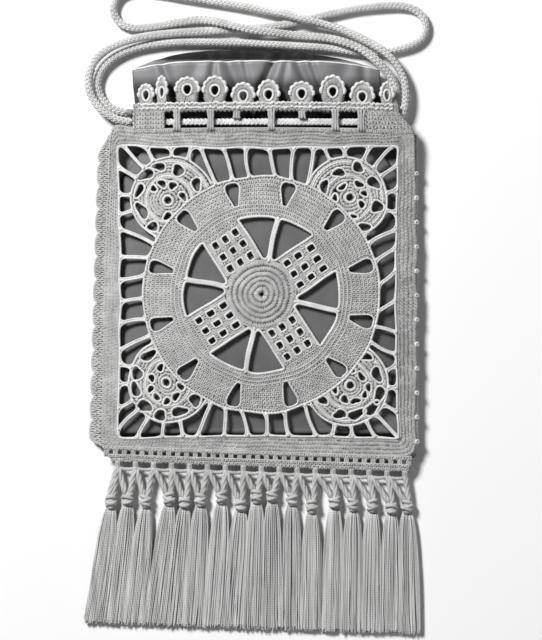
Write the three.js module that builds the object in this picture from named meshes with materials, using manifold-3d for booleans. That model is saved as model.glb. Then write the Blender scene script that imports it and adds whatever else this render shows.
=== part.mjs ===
// Crochet drawstring bag laid on its back: a pierced lace front, a plain back, a cloth lining with
// a gathered mouth, scalloped side seams, a petalled edging that holds the drawstring, and a
// knotted fringe along the bottom seam.
// Millimetres. +Z is up from the surface, +Y runs to the mouth, +X is right seen from above.

import * as THREE from "three";
import { mergeVertices } from "three/addons/utils/BufferGeometryUtils.js";
import Module from "manifold-3d";

const { clamp, degToRad, lerp, mapLinear, radToDeg, smoothstep } = THREE.MathUtils;

// Whole bag
const HALF_LENGTH = 171; // mouth of the lining to the lowest fringe end, halved
const HALF_SPREAD = 101; // the fringe ends from left to right, halved
const WORK = 2.2; // thickness of the crochet
const CLOTH = 1; // thickness of the lining
const GAP = 0.3; // between neighbouring pieces

// Outline of the two panels
const PANEL = {
  top: 128.5,
  bottomLeft: -60,
  bottomRight: -66.6,
  leftTop: -85,
  leftBottom: -90.5,
  rightTop: 97,
  rightBottom: 97.5,
  corner: 8,
  bow: 1.2,
  step: 16,
};

// How the front stands off the back: seam height, and the rise of its middle
const SEAM = { body: 6.8, mouth: 10, inset: 6 };
const RISE = { body: 8, mouth: 8, length: 70 };
const MOUTH = { left: -74, right: 89, starts: 96, full: 128 };

// Lace medallion, with four meshed tabs between its hub and its ring
const MEDALLION = { x: 5.4, y: 31.3, rim: 70.6 };
const TAB = { turn: 33, count: 4, half: 12.4, firstRow: 22.8, rowPitch: 8.4, columnPitch: 7.2, hole: 2 };
const WEDGE = { inner: 21.4, outer: 47, spoke: 2.4, arcSteps: 3 };
const SLIT = { turn: 15.5, count: 12, inner: 55, outer: 67.8, narrow: 1.3, wide: 3.2 };

// Opening of the border, and the bars that hang the medallion in it
const WINDOW = { left: -80.7, right: 87.3, top: 120.4, bottom: -54.8, bow: 0.02 };
const BAR = { width: 2.4, arcStep: 6 };
const SIDE_BARS = [
  { ring: [-23.6, -15.9, -7.9, 5.1, 16.9, 25.2], border: [-23.7, -15.4, -2.5, 10.2, 19.1, 26.1] },
  { ring: [67.5, 75.4, 82.9, 95.9, 104.6, 112.9], border: [70.4, 77.5, 87.2, 95.8, 104.2, 112.3] },
  { ring: [154.9, 161.9, 170.7, 182.2, 191.8, 200.2], border: [155.2, 165.1, 174.1, 182.8, 191.9, 201.1] },
  { ring: [245.3, 252.5, 260.5, 272.2, 281.3, 291.8], border: [245.6, 255.1, 264.4, 272.6, 281.1, 291.2] },
];
const FANS = [
  { distance: 76.4, bearing: 48.6 },
  { distance: 78.5, bearing: 132.8 },
  { distance: 75.4, bearing: 223.4 },
  { distance: 74.2, bearing: 313.7 },
];
const FAN = { radius: 24.5, barPitch: 5, barsEachSide: 3, holeInner: 9.5, holeOuter: 19.5 };
const FAN_HOLES = [
  { from: -64, to: -25 },
  { from: -18, to: 18 },
  { from: 25, to: 64 },
];

// Scalloped seams: how far their edge and their scallops stand out, and where the scallops are
const SIDES = [
  { name: "side_edging_left", side: -1, reach: 5.2, scallop: 2.2, first: -50.4, pitch: 14 },
  { name: "side_edging_right", side: 1, reach: 0.4, scallop: 2, first: -56.6, pitch: 14.58 },
];
const SCALLOPS = { count: 12, half: 4.4 };

// Edging of the mouth: its band, the slots over the cord, and its petals
const EDGING = { left: -70, right: 86, backRight: 75.7, bottom: 130, band: 146.5, sag: 0.8, step: 9 };
const SLOT = { low: 132.3, high: 140.6, post: 2.4, posts: [-46.5, -24.9, 12.3, 49.5, 67.5], end: 4 };
const PETALS = [
  { x: -63.5, eye: 151, half: 5.2, tip: 158.4 },
  { x: -54, eye: 152.4, half: 3.9, tip: 163 },
  { x: -38.8, eye: 153.8, half: 7.8, tip: 162 },
  { x: -22.3, eye: 153.1, half: 7.8, tip: 162.4 },
  { x: -5.4, eye: 149.6, half: 7.4, tip: 158.4 },
  { x: 9.7, eye: 150.4, half: 7, tip: 160 },
  { x: 29.4, eye: 151, half: 7.9, tip: 159 },
  { x: 48, eye: 152.4, half: 7.9, tip: 163 },
  { x: 65.6, eye: 149.6, half: 7.6, tip: 159.6 },
  { x: 81.5, eye: 151, half: 4.2, tip: 159.6 },
];
const PETAL_EYE = { halfWidth: 2.1, halfHeight: 2.9, sides: 8 };
const PETAL_STEPS = 6;

// Lining: its sections from the bottom seam to the mouth
const LINING = { clear: 1.4, mouthLeft: -70.5, mouthRight: 76, points: 22, droop: 5.5 };
const LINING_SECTIONS = [
  { y: -54, inset: 10, ruffle: 0 },
  { y: -42, inset: 8, ruffle: 0 },
  { y: -28, inset: 7, ruffle: 0 },
  { y: -12, inset: 7, ruffle: 0 },
  { y: 6, inset: 7, ruffle: 0 },
  { y: 94, inset: 7, ruffle: 0 },
  { y: 112, inset: 9, ruffle: 0 },
  { y: 130, inset: 10, ruffle: 0.1 },
  { y: 142, inset: 10, ruffle: 0.3 },
  { y: 156, inset: 6, ruffle: 0.7 },
  { y: HALF_LENGTH, inset: 0, ruffle: 1.2 },
];
const RUFFLE = { pitch: 23, lower: 0.6 };
const CASING_ROOM = { starts: 106, fades: 160, atLip: 0.3 };

// Fringe: its heading strip, and the sections of a tassel from the heading to its end
const HEADING = { above: 5, below: 9, overhang: 3, step: 30 };
const FRINGE = { tassels: 17, headLeft: -84.5, headRight: 92.5, endLeft: -164, sides: 8 };
const TASSEL_SECTIONS = [
  { share: 0.05, halfWidth: 3.4, halfThick: 1.5, middle: 4.4 },
  { share: 0.15, halfWidth: 2.8, halfThick: 1.8, middle: 3.4 },
  { share: 0.22, halfWidth: 2.4, halfThick: 2, middle: 2.6 },
  { share: 0.26, halfWidth: 4, halfThick: 3.2, middle: 3.3 },
  { share: 0.31, halfWidth: 4, halfThick: 3.2, middle: 3.3 },
  { share: 0.35, halfWidth: 2.8, halfThick: 2.2, middle: 2.3 },
  { share: 0.5, halfWidth: 4.8, halfThick: 2.8, middle: 2.8 },
  { share: 0.72, halfWidth: 5.4, halfThick: 2.6, middle: 2.6 },
  { share: 1, halfWidth: 5.6, halfThick: 2, middle: 2 },
];

// Drawstring: round where it is free, pressed oval inside the edging
const CORD = { radius: 2.7, sides: 8, steps: 38 };
const CASING = { halfWidth: 2.2, halfThick: 1.3, sides: 8, steps: 16 };
const CASING_FRONT = { left: -70.8, right: 79.8, y: 134.4 };
const CASING_BACK = { left: -70.9, right: 75.4, y: 140.4 };
const LEFT_LOOP = [
  [-71.5, 134.4, 7.6], [-80.5, 136.2, 7.3], [-89, 141, 7], [-95, 148, 6.7], [-98, 156.5, 6.6],
  [-97, 165.5, 6.6], [-92.5, 173.5, 6.6], [-84.5, 179.5, 6.6], [-73, 184, 6.4], [-60.5, 186.5, 5.3],
  [-47, 188, 3.8], [-34, 189, 2.75], [-18.5, 190, 2.75], [14.5, 192.5, 2.75], [28.5, 195.5, 2.75],
  [43.5, 199, 2.75], [59.5, 202.5, 2.75], [76, 204.3, 2.75], [87.5, 204.6, 2.75], [96.3, 202.8, 2.75],
  [102, 198, 2.75], [103.9, 192, 2.75], [102, 186, 2.75], [96.8, 181.6, 2.75], [88.5, 178.8, 2.75],
  [77, 176.9, 2.75], [65.5, 176.5, 2.75], [46.5, 179, 2.75], [25.5, 180.5, 2.75], [1.5, 182, 2.75],
  [-43.5, 182.5, 2.75], [-60.5, 181, 2.75], [-73.5, 178, 2.75], [-83.5, 173, 2.75], [-90.5, 166, 2.75],
  [-93, 158, 2.75], [-91.2, 150.6, 2.75], [-87, 144.9, 2.8], [-80.6, 141.5, 2.9], [-71.5, 140.4, 3],
];
const RIGHT_LOOP = [
  [80.3, 134.4, 8.4], [85.7, 135.9, 7.2], [89.6, 139.8, 6.7], [91.3, 145.2, 6.6], [91.9, 152, 6.7],
  [91, 159, 6.8], [88.3, 165.5, 7.3], [84.3, 171.5, 8.4], [77, 178, 8.9], [55.5, 189, 7.4],
  [43.5, 193, 8.2], [32, 196, 8.8], [19.5, 199.5, 6.4], [5.5, 202, 3.6], [-8.5, 204.5, 2.75],
  [-40.5, 209.6, 2.75], [-56.5, 212.4, 2.75], [-65.5, 213.5, 2.75], [-73.5, 213.4, 2.75], [-80.2, 210.2, 2.75],
  [-83.4, 202.6, 2.75], [-80.2, 195, 2.75], [-73.5, 191.8, 2.75], [-64.5, 191.4, 2.75], [-44.5, 194.5, 2.75],
  [-31.5, 196, 3.4], [-20, 194.5, 6.2], [-10, 192, 8.6], [1.5, 189.5, 8.6], [13.5, 188, 6.4],
  [27.5, 186.5, 4], [41.5, 185.5, 5.2], [55, 182.5, 7.6], [65.5, 178, 8.8], [74, 171.5, 8.2],
  [81.5, 164, 5.4], [85.2, 157.5, 4], [86.4, 151, 3.5], [85, 145.8, 3.5], [81.1, 141.9, 3.6],
  [76.3, 140.4, 3.7],
];

const MATERIALS = {
  crochet: { color: "#cfcfcd", roughness: 0.9 },
  lining: { color: "#8f8f90", roughness: 0.55 },
  cord: { color: "#c2c2c0", roughness: 0.9 },
  fringe: { color: "#c9c9c7", roughness: 0.8 },
};

const wasm = await Module();
wasm.setup();

const bag = new THREE.Group();
bag.name = "crochet_bag";

function addPiece(name, geometry, finish) {
  const material = new THREE.MeshStandardMaterial({ ...MATERIALS[finish], metalness: 0 });
  const mesh = new THREE.Mesh(geometry, material);
  mesh.name = name;
  bag.add(mesh);
}

function solidOf(geometry) {
  const bare = geometry.clone();
  bare.deleteAttribute("normal");
  bare.deleteAttribute("uv");
  const merged = mergeVertices(bare, 1e-4);
  const mesh = new wasm.Mesh({
    numProp: 3,
    vertProperties: new Float32Array(merged.attributes.position.array),
    triVerts: new Uint32Array(merged.index.array),
  });
  return new wasm.Manifold(mesh);
}

function geometryOf(solid) {
  const mesh = solid.getMesh();
  const geometry = new THREE.BufferGeometry();
  geometry.setAttribute("position", new THREE.BufferAttribute(mesh.vertProperties, 3));
  geometry.setIndex(new THREE.BufferAttribute(mesh.triVerts, 1));
  geometry.computeVertexNormals();
  return geometry;
}

// Seams, and the underside of the front
const downPanel = (y) => (PANEL.top - y) / (PANEL.top - PANEL.bottomLeft);
const leftSeam = (y) => lerp(PANEL.leftTop, PANEL.leftBottom, downPanel(y));
const rightSeam = (y) => lerp(PANEL.rightTop, PANEL.rightBottom, downPanel(y));
const bottomSeam = (x) =>
  mapLinear(x, PANEL.leftBottom, PANEL.rightBottom, PANEL.bottomLeft, PANEL.bottomRight);
const nearMouth = (y) => smoothstep(y, MOUTH.starts, MOUTH.full);
const leftRim = (y) => lerp(leftSeam(y), MOUTH.left, nearMouth(y));
const rightRim = (y) => lerp(rightSeam(y), MOUTH.right, nearMouth(y));

function frontUnder(x, y) {
  const across = clamp(mapLinear(x, leftRim(y), rightRim(y), -1, 1), -1, 1);
  const bottom = bottomSeam(x);
  const swell = (1 - Math.abs(across) ** 3) * smoothstep(y, bottom, bottom + RISE.length);
  const seam = lerp(SEAM.body, SEAM.mouth, nearMouth(y));
  return seam + lerp(RISE.body, RISE.mouth, nearMouth(y)) * swell;
}

// The same triangles with the long thin ones turned, so that a sheet of them bends evenly
function evened(points, faces) {
  const tipAngle = (tip, from, to) =>
    points[from].clone().sub(points[tip]).angleTo(points[to].clone().sub(points[tip]));
  for (let turned = true; turned; ) {
    turned = false;
    const sides = new Map();
    faces.forEach((face, number) => {
      face.forEach((from, i) => {
        const to = face[(i + 1) % 3];
        sides.set(`${from} ${to}`, { number, tip: face[(i + 2) % 3] });
      });
    });
    const done = new Set();
    for (const [side, { number, tip }] of sides) {
      const [from, to] = side.split(" ").map(Number);
      const other = sides.get(`${to} ${from}`);
      if (!other || done.has(number) || done.has(other.number)) continue;
      if (tipAngle(tip, from, to) + tipAngle(other.tip, from, to) < Math.PI + 1e-6) continue;
      faces[number] = [tip, from, other.tip];
      faces[other.number] = [other.tip, to, tip];
      done.add(number).add(other.number);
      turned = true;
    }
  }
  return faces;
}

// A sheet of crochet cut to an outline, with its gaps, lying over a height function
function workedSheet(outline, gaps, thickness, under) {
  const clockwise = (loop) => THREE.ShapeUtils.isClockWise(loop);
  const edges = [outline, ...gaps].map((loop, i) => (clockwise(loop) === i > 0 ? loop : loop.toReversed()));
  const flat = edges.flat();
  const faces = evened(flat, THREE.ShapeUtils.triangulateShape(edges[0], edges.slice(1)));
  const layer = (lift) => flat.map(({ x, y }) => new THREE.Vector3(x, y, under(x, y) + lift));
  const above = flat.length;
  const index = faces.flatMap(([a, b, c]) => [c, b, a, a + above, b + above, c + above]);
  let first = 0;
  for (const edge of edges) {
    edge.forEach((_, i) => {
      const a = first + i;
      const b = first + ((i + 1) % edge.length);
      index.push(a, b, b + above, a, b + above, a + above);
    });
    first += edge.length;
  }
  const geometry = new THREE.BufferGeometry();
  geometry.setFromPoints([...layer(0), ...layer(thickness)]);
  geometry.setIndex(index);
  geometry.computeVertexNormals();
  return geometry;
}

// A closed skin over rings of points, with flat ends
function loft(rings) {
  const count = rings[0].length;
  const index = [];
  for (let ring = 0; ring + 1 < rings.length; ring += 1) {
    for (let i = 0; i < count; i += 1) {
      const a = ring * count + i;
      const b = ring * count + ((i + 1) % count);
      index.push(a, b, a + count, b, b + count, a + count);
    }
  }
  const last = (rings.length - 1) * count;
  for (let i = 1; i + 1 < count; i += 1) {
    index.push(0, i + 1, i, last, last + i, last + i + 1);
  }
  const geometry = new THREE.BufferGeometry();
  geometry.setFromPoints(rings.flat());
  geometry.setIndex(index);
  geometry.computeVertexNormals();
  return geometry;
}

const point = (x, y) => new THREE.Vector2(x, y);

function polar(radius, degrees, centre) {
  const angle = degToRad(degrees);
  return point(centre.x + radius * Math.cos(angle), centre.y + radius * Math.sin(angle));
}

const steps = (from, to, count) =>
  Array.from({ length: count + 1 }, (_, i) => lerp(from, to, i / count));

const halfAngle = (halfWidth, radius) => radToDeg(Math.asin(halfWidth / radius));

// Panel outline: slightly bowed sides with rounded corners, stepped so that it can follow the crown
function panelOutline() {
  const corners = [
    point(PANEL.leftBottom, PANEL.bottomLeft),
    point(PANEL.rightBottom, PANEL.bottomRight),
    point(PANEL.rightTop, PANEL.top),
    point(PANEL.leftTop, PANEL.top),
  ];
  const outline = [];
  corners.forEach((corner, i) => {
    const before = corners[(i + 3) % 4];
    const after = corners[(i + 1) % 4];
    const start = corner.clone().lerp(before, PANEL.corner / corner.distanceTo(before));
    const end = corner.clone().lerp(after, PANEL.corner / corner.distanceTo(after));
    const turn = new THREE.QuadraticBezierCurve(start, corner, end);
    outline.push(...turn.getPoints(3));
    const next = after.clone().lerp(corner, PANEL.corner / corner.distanceTo(after));
    const outward = point(next.y - end.y, end.x - next.x).normalize();
    const pieces = Math.round(end.distanceTo(next) / PANEL.step);
    for (const share of steps(0, 1, pieces).slice(1, -1)) {
      const out = PANEL.bow * Math.sin(Math.PI * share);
      outline.push(end.clone().lerp(next, share).addScaledVector(outward, out));
    }
  });
  return outline;
}

// Gaps of the lace front
const onMedallion = (radius, degrees) => polar(radius, degrees, MEDALLION);

function onTab(axis, out, across) {
  const direction = polar(1, axis, { x: 0, y: 0 });
  return point(
    MEDALLION.x + out * direction.x - across * direction.y,
    MEDALLION.y + out * direction.y + across * direction.x,
  );
}

function meshGaps(axis) {
  const gaps = [];
  for (let row = 0; row < 3; row += 1) {
    for (let column = -1; column <= 1; column += 1) {
      const out = TAB.firstRow + row * TAB.rowPitch;
      const across = column * TAB.columnPitch;
      gaps.push([
        onTab(axis, out - TAB.hole, across - TAB.hole),
        onTab(axis, out + TAB.hole, across - TAB.hole),
        onTab(axis, out + TAB.hole, across + TAB.hole),
        onTab(axis, out - TAB.hole, across + TAB.hole),
      ]);
    }
  }
  return gaps;
}

function wedgeGap(axis, side) {
  const spokeHalf = WEDGE.spoke / 2;
  const half = 180 / TAB.count;
  const start = axis + side * halfAngle(TAB.half, WEDGE.outer);
  const end = axis + side * (half - halfAngle(spokeHalf, WEDGE.outer));
  return [
    onTab(axis, Math.sqrt(WEDGE.inner ** 2 - TAB.half ** 2), side * TAB.half),
    ...steps(start, end, WEDGE.arcSteps).map((degrees) => onMedallion(WEDGE.outer, degrees)),
    onMedallion(WEDGE.inner, axis + side * (half - halfAngle(spokeHalf, WEDGE.inner))),
  ];
}

function slitGap(axis) {
  return [
    onTab(axis, SLIT.inner, -SLIT.narrow),
    onTab(axis, SLIT.outer, -SLIT.wide),
    onTab(axis, SLIT.outer, SLIT.wide),
    onTab(axis, SLIT.inner, SLIT.narrow),
  ];
}

const windowCorners = [
  [WINDOW.right, WINDOW.top],
  [WINDOW.left, WINDOW.top],
  [WINDOW.left, WINDOW.bottom],
  [WINDOW.right, WINDOW.bottom],
].map(([x, y]) => (radToDeg(Math.atan2(y - MEDALLION.y, x - MEDALLION.x)) + 360) % 360);

// How far the border's opening and the medallion's outer edge are from its centre
function windowReach(degrees) {
  const x = Math.cos(degToRad(degrees));
  const y = Math.sin(degToRad(degrees));
  const toSide = ((x > 0 ? WINDOW.right : WINDOW.left) - MEDALLION.x) / x;
  const toEnd = ((y > 0 ? WINDOW.top : WINDOW.bottom) - MEDALLION.y) / y;
  const nearer = Math.min(toSide, toEnd);
  const towardsCorner = nearer / Math.max(toSide, toEnd);
  return nearer * (1 - WINDOW.bow * (1 - towardsCorner ** 2));
}

function rimReach(degrees) {
  const reaches = FANS.map(({ distance, bearing }) => {
    const off = degToRad(degrees - bearing);
    const inside = FAN.radius ** 2 - (distance * Math.sin(off)) ** 2;
    return inside > 0 && Math.cos(off) > 0 ? distance * Math.cos(off) + Math.sqrt(inside) : 0;
  });
  return Math.max(MEDALLION.rim, ...reaches);
}

function allBars() {
  const bars = SIDE_BARS.flatMap(({ ring, border }) =>
    ring.map((degrees, i) => ({ ring: degrees, border: border[i] })),
  );
  for (const { bearing } of FANS) {
    for (let i = -FAN.barsEachSide; i <= FAN.barsEachSide; i += 1) {
      const degrees = bearing + i * FAN.barPitch;
      bars.push({ ring: degrees, border: degrees });
    }
  }
  return bars.sort((a, b) => a.ring - b.ring);
}

function barGap(bar, next) {
  const half = BAR.width / 2;
  const outerFrom = bar.border + halfAngle(half, windowReach(bar.border));
  const outerTo = next.border - halfAngle(half, windowReach(next.border));
  const innerFrom = next.ring - halfAngle(half, rimReach(next.ring));
  const innerTo = bar.ring + halfAngle(half, rimReach(bar.ring));
  const corners = windowCorners.filter((degrees) => degrees > outerFrom && degrees < outerTo);
  const arcs = Math.max(1, Math.ceil((innerFrom - innerTo) / BAR.arcStep));
  return [
    ...[outerFrom, ...corners, outerTo].map((degrees) => onMedallion(windowReach(degrees), degrees)),
    ...steps(innerFrom, innerTo, arcs).map((degrees) => onMedallion(rimReach(degrees), degrees)),
  ];
}

function fanGaps({ distance, bearing }) {
  const centre = onMedallion(distance, bearing);
  return FAN_HOLES.map(({ from, to }) => [
    ...steps(from, to, 3).map((degrees) => polar(FAN.holeOuter, bearing + degrees, centre)),
    ...steps(to, from, 2).map((degrees) => polar(FAN.holeInner, bearing + degrees, centre)),
  ]);
}

function laceGaps() {
  const gaps = [];
  for (let i = 0; i < TAB.count; i += 1) {
    const axis = TAB.turn + (i * 360) / TAB.count;
    gaps.push(...meshGaps(axis), wedgeGap(axis, -1), wedgeGap(axis, 1));
  }
  for (let i = 0; i < SLIT.count; i += 1) {
    gaps.push(slitGap(SLIT.turn + (i * 360) / SLIT.count));
  }
  const bars = allBars();
  bars.forEach((bar, i) => {
    const next = bars[i + 1] ?? { ring: bars[0].ring + 360, border: bars[0].border + 360 };
    gaps.push(barGap(bar, next));
  });
  return gaps.concat(FANS.flatMap(fanGaps));
}

addPiece("front_panel", workedSheet(panelOutline(), laceGaps(), WORK, frontUnder), "crochet");
addPiece("back_panel", workedSheet(panelOutline(), [], WORK, () => 0), "crochet");

// Scalloped seams, held between the edges of the two panels
for (const { name, side, reach, scallop, first, pitch } of SIDES) {
  const seam = side < 0 ? leftSeam : rightSeam;
  const last = first + (SCALLOPS.count - 1) * pitch;
  const start = first - SCALLOPS.half;
  const end = last + SCALLOPS.half;
  const outline = [];
  for (let i = 0; i < SCALLOPS.count; i += 1) {
    const middle = first + i * pitch;
    for (const turn of steps(-90, 90, 4)) {
      const y = middle + SCALLOPS.half * Math.sin(degToRad(turn));
      const out = reach + scallop * Math.cos(degToRad(turn));
      outline.push(point(seam(y) + side * out, y));
    }
  }
  steps(end, start, 6).forEach((y) => outline.push(point(seam(y) - side * SEAM.inset, y)));
  const height = SEAM.body - WORK - 2 * GAP;
  addPiece(name, workedSheet(outline, [], height, () => WORK + GAP), "crochet");
}

// Petalled edging of the mouth, drooping a little towards its ends
function onEdging(x, y) {
  const across = mapLinear(x, EDGING.left, EDGING.right, -1, 1);
  return point(x, y - EDGING.sag * across ** 2);
}

function edgingOutline(right) {
  const petals = PETALS.filter(({ x }) => x < right);
  const runs = Math.ceil((right - EDGING.left) / EDGING.step);
  const outline = steps(EDGING.left, right, runs).map((x) => onEdging(x, EDGING.bottom));
  outline.push(onEdging(right, EDGING.band));
  for (const { x, half, tip } of petals.reverse()) {
    for (const degrees of steps(0, 180, PETAL_STEPS)) {
      const turn = degToRad(degrees);
      const across = Math.min(x + half * Math.cos(turn), right - GAP);
      outline.push(onEdging(across, EDGING.band + GAP + (tip - EDGING.band) * Math.sin(turn)));
    }
  }
  outline.push(onEdging(EDGING.left, EDGING.band));
  return outline;
}

function slotGaps() {
  const edges = [EDGING.left + SLOT.end, ...SLOT.posts, EDGING.right - SLOT.end];
  return edges.slice(1).map((to, i) => {
    const from = edges[i] + SLOT.post / 2;
    const end = to - SLOT.post / 2;
    const runs = Math.ceil((end - from) / EDGING.step);
    return [
      ...steps(from, end, runs).map((x) => onEdging(x, SLOT.low)),
      ...steps(end, from, runs).map((x) => onEdging(x, SLOT.high)),
    ];
  });
}

function eyeGap({ x, eye }) {
  return steps(0, 360, PETAL_EYE.sides).slice(1).map((degrees) => {
    const turn = degToRad(degrees);
    return onEdging(x + PETAL_EYE.halfWidth * Math.cos(turn), eye + PETAL_EYE.halfHeight * Math.sin(turn));
  });
}

const edgingGaps = [...slotGaps(), ...PETALS.map(eyeGap)];
addPiece("front_edging", workedSheet(edgingOutline(EDGING.right), edgingGaps, WORK, frontUnder), "crochet");
addPiece("back_edging", workedSheet(edgingOutline(EDGING.backRight), [], WORK, () => 0), "crochet");

// Lining: a flat pouch, lifted and lowered round the drawstring, with a gathered open mouth
function casingRoom(y) {
  const below = smoothstep(y, CASING_ROOM.starts, MOUTH.full);
  const above = lerp(1, CASING_ROOM.atLip, smoothstep(y, EDGING.band, CASING_ROOM.fades));
  return below * above * (2 * CASING.halfThick + GAP);
}

const liningTop = (x, y) => frontUnder(x, y) - LINING.clear - casingRoom(y);
const liningLow = (y) => WORK + GAP + casingRoom(y);

function liningRing({ y, inset, ruffle }, wall) {
  const left = y < MOUTH.full ? leftRim(y) : LINING.mouthLeft;
  const right = y < MOUTH.full ? rightRim(y) : LINING.mouthRight;
  const xs = steps(left + inset + wall, right - inset - wall, LINING.points);
  const middle = (left + right) / 2;
  const half = (right - left) / 2;
  const wave = (x) => ruffle * Math.cos((2 * Math.PI * (x - middle)) / RUFFLE.pitch);
  const height = (x) => (y < HALF_LENGTH ? y : y - LINING.droop * ((x - middle) / half) ** 2);
  const upper = xs.map((x) => new THREE.Vector3(x, height(x), liningTop(x, y) + wave(x) - wall));
  const lower = xs.map((x) => new THREE.Vector3(x, height(x), liningLow(y) + RUFFLE.lower * wave(x) + wall));
  return [...upper, ...lower.reverse()];
}

const outerRings = LINING_SECTIONS.map((section) => liningRing(section, 0));
const [floorSection, ...wallSections] = LINING_SECTIONS;
const innerFloor = { ...floorSection, y: floorSection.y + CLOTH };
const innerRings = [innerFloor, ...wallSections].map((section) => liningRing(section, CLOTH));
addPiece("lining", loft([...outerRings, ...innerRings.reverse()]), "lining");

// Fringe: a heading held in the bottom seam, with tassels that spread to the ends
function headingSolid() {
  const left = FRINGE.headLeft - HEADING.overhang;
  const right = FRINGE.headRight + HEADING.overhang;
  const xs = steps(left, right, Math.round((right - left) / HEADING.step));
  const outline = [
    ...xs.map((x) => point(x, bottomSeam(x) - HEADING.below)),
    ...xs.reverse().map((x) => point(x, bottomSeam(x) + HEADING.above)),
  ];
  const height = SEAM.body - WORK - 2 * GAP;
  return solidOf(workedSheet(outline, [], height, () => WORK + GAP));
}

function tasselSolid(number) {
  const share = number / (FRINGE.tassels - 1);
  const endHalf = TASSEL_SECTIONS.at(-1).halfWidth;
  const headX = lerp(FRINGE.headLeft, FRINGE.headRight, share);
  const endX = lerp(endHalf - HALF_SPREAD, HALF_SPREAD - endHalf, share);
  const headY = bottomSeam(headX);
  const endY = lerp(FRINGE.endLeft, -HALF_LENGTH, share);
  const rings = TASSEL_SECTIONS.map((section) => {
    const x = lerp(headX, endX, section.share);
    const y = lerp(headY, endY, section.share);
    return steps(0, 360, FRINGE.sides).slice(1).map((degrees) => {
      const turn = degToRad(degrees + 180 / FRINGE.sides);
      return new THREE.Vector3(
        x + (section.halfWidth * Math.cos(turn)) / Math.cos(Math.PI / FRINGE.sides),
        y,
        section.middle + (section.halfThick * Math.sin(turn)) / Math.cos(Math.PI / FRINGE.sides),
      );
    });
  });
  return solidOf(loft(rings));
}

let fringe = headingSolid();
for (let number = 0; number < FRINGE.tassels; number += 1) {
  fringe = fringe.add(tasselSolid(number));
}
addPiece("fringe", geometryOf(fringe), "fringe");

// Drawstring: two runs pressed flat inside the edging, and a free loop from each side
function casingRun({ left, right, y }, height) {
  const rings = steps(left, right, CASING.steps).map((x) =>
    steps(0, 360, CASING.sides).slice(1).map((degrees) => {
      const turn = degToRad(degrees);
      const up = height(x) + CASING.halfThick * Math.sin(turn);
      return new THREE.Vector3(x, y + CASING.halfWidth * Math.cos(turn), up);
    }),
  );
  return loft(rings);
}

const underEdging = (x) => frontUnder(x, CASING_FRONT.y) - GAP - CASING.halfThick;
const overBack = () => WORK + GAP + CASING.halfThick;
addPiece("casing_cord_front", casingRun(CASING_FRONT, underEdging), "cord");
addPiece("casing_cord_back", casingRun(CASING_BACK, overBack), "cord");

function cordLoop(route) {
  const section = steps(0, 360, CORD.sides).slice(1).map((degrees) =>
    polar(CORD.radius, degrees + 180 / CORD.sides, { x: 0, y: 0 }),
  );
  const points = route.map(([x, y, z]) => new THREE.Vector3(x, y, z));
  const extrudePath = new THREE.CatmullRomCurve3(points, false, "centripetal");
  const options = { extrudePath, steps: CORD.steps, bevelEnabled: false };
  return new THREE.ExtrudeGeometry(new THREE.Shape(section), options);
}

addPiece("cord_left_loop", cordLoop(LEFT_LOOP), "cord");
addPiece("cord_right_loop", cordLoop(RIGHT_LOOP), "cord");

export default bag;
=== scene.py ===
import math

import bpy
import numpy as np
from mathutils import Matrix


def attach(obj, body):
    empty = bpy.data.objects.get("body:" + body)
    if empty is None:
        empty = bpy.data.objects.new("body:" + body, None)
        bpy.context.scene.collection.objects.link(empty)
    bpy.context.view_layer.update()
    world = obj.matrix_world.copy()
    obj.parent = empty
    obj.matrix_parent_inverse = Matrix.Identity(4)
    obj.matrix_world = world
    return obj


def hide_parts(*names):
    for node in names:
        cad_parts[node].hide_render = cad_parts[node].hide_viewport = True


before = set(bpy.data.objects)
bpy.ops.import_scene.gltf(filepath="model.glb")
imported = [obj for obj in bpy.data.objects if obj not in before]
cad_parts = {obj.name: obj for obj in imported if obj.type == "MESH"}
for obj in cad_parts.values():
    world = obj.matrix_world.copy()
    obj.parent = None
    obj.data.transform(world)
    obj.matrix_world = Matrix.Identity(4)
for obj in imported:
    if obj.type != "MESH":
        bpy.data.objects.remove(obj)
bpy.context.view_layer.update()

bpy.ops.object.select_all(action="DESELECT")

# Table, studio light and camera. The bag lies on its back on a pale table and is seen from
# straight above. The key light stands low at the upper left, and a weak fill at the lower right.
MM = 0.001
VIEW_CENTRE = (11.1 * MM, 16.2 * MM)
VIEW_HEIGHT = 384 * MM
LENS = 280
SENSOR = 36
TABLE_DROP = 0.4 * MM
STUDIO_LIGHTS = {
    "key": {"place": (-1.42, 1.62, 2.15), "size": 0.7, "watts": 138},
    "fill": {"place": (1.4, -1.1, 1.6), "size": 2, "watts": 11},
}
AMBIENT = 0.03

bpy.ops.mesh.primitive_plane_add(size=4, location=(0, 0, -TABLE_DROP))
table = bpy.context.object
table.name = "table"
bpy.ops.object.transform_apply(location=True)
table_top = bpy.data.materials.new("pale_table")
table_top.use_nodes = True
table_shader = table_top.node_tree.nodes["Principled BSDF"]
table_shader.inputs["Base Color"].default_value = (0.85, 0.85, 0.85, 1)
table_shader.inputs["Roughness"].default_value = 0.9
table_shader.inputs["Specular IOR Level"].default_value = 0.1
table.data.materials.append(table_top)

for light_name, light in STUDIO_LIGHTS.items():
    place = np.array(light["place"])
    bpy.ops.object.light_add(type="AREA", location=place)
    lamp = bpy.context.object
    lamp.name = light_name
    lamp.data.size = light["size"]
    lamp.data.energy = light["watts"]
    lamp.rotation_euler = (
        math.atan2(math.hypot(place[0], place[1]), place[2]),
        0,
        math.atan2(place[1], place[0]) + math.pi / 2,
    )

studio = bpy.data.worlds.new("studio")
studio.use_nodes = True
studio.node_tree.nodes["Background"].inputs["Color"].default_value = (1, 1, 1, 1)
studio.node_tree.nodes["Background"].inputs["Strength"].default_value = AMBIENT
bpy.context.scene.world = studio
bpy.context.scene.view_settings.view_transform = "Standard"

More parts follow.
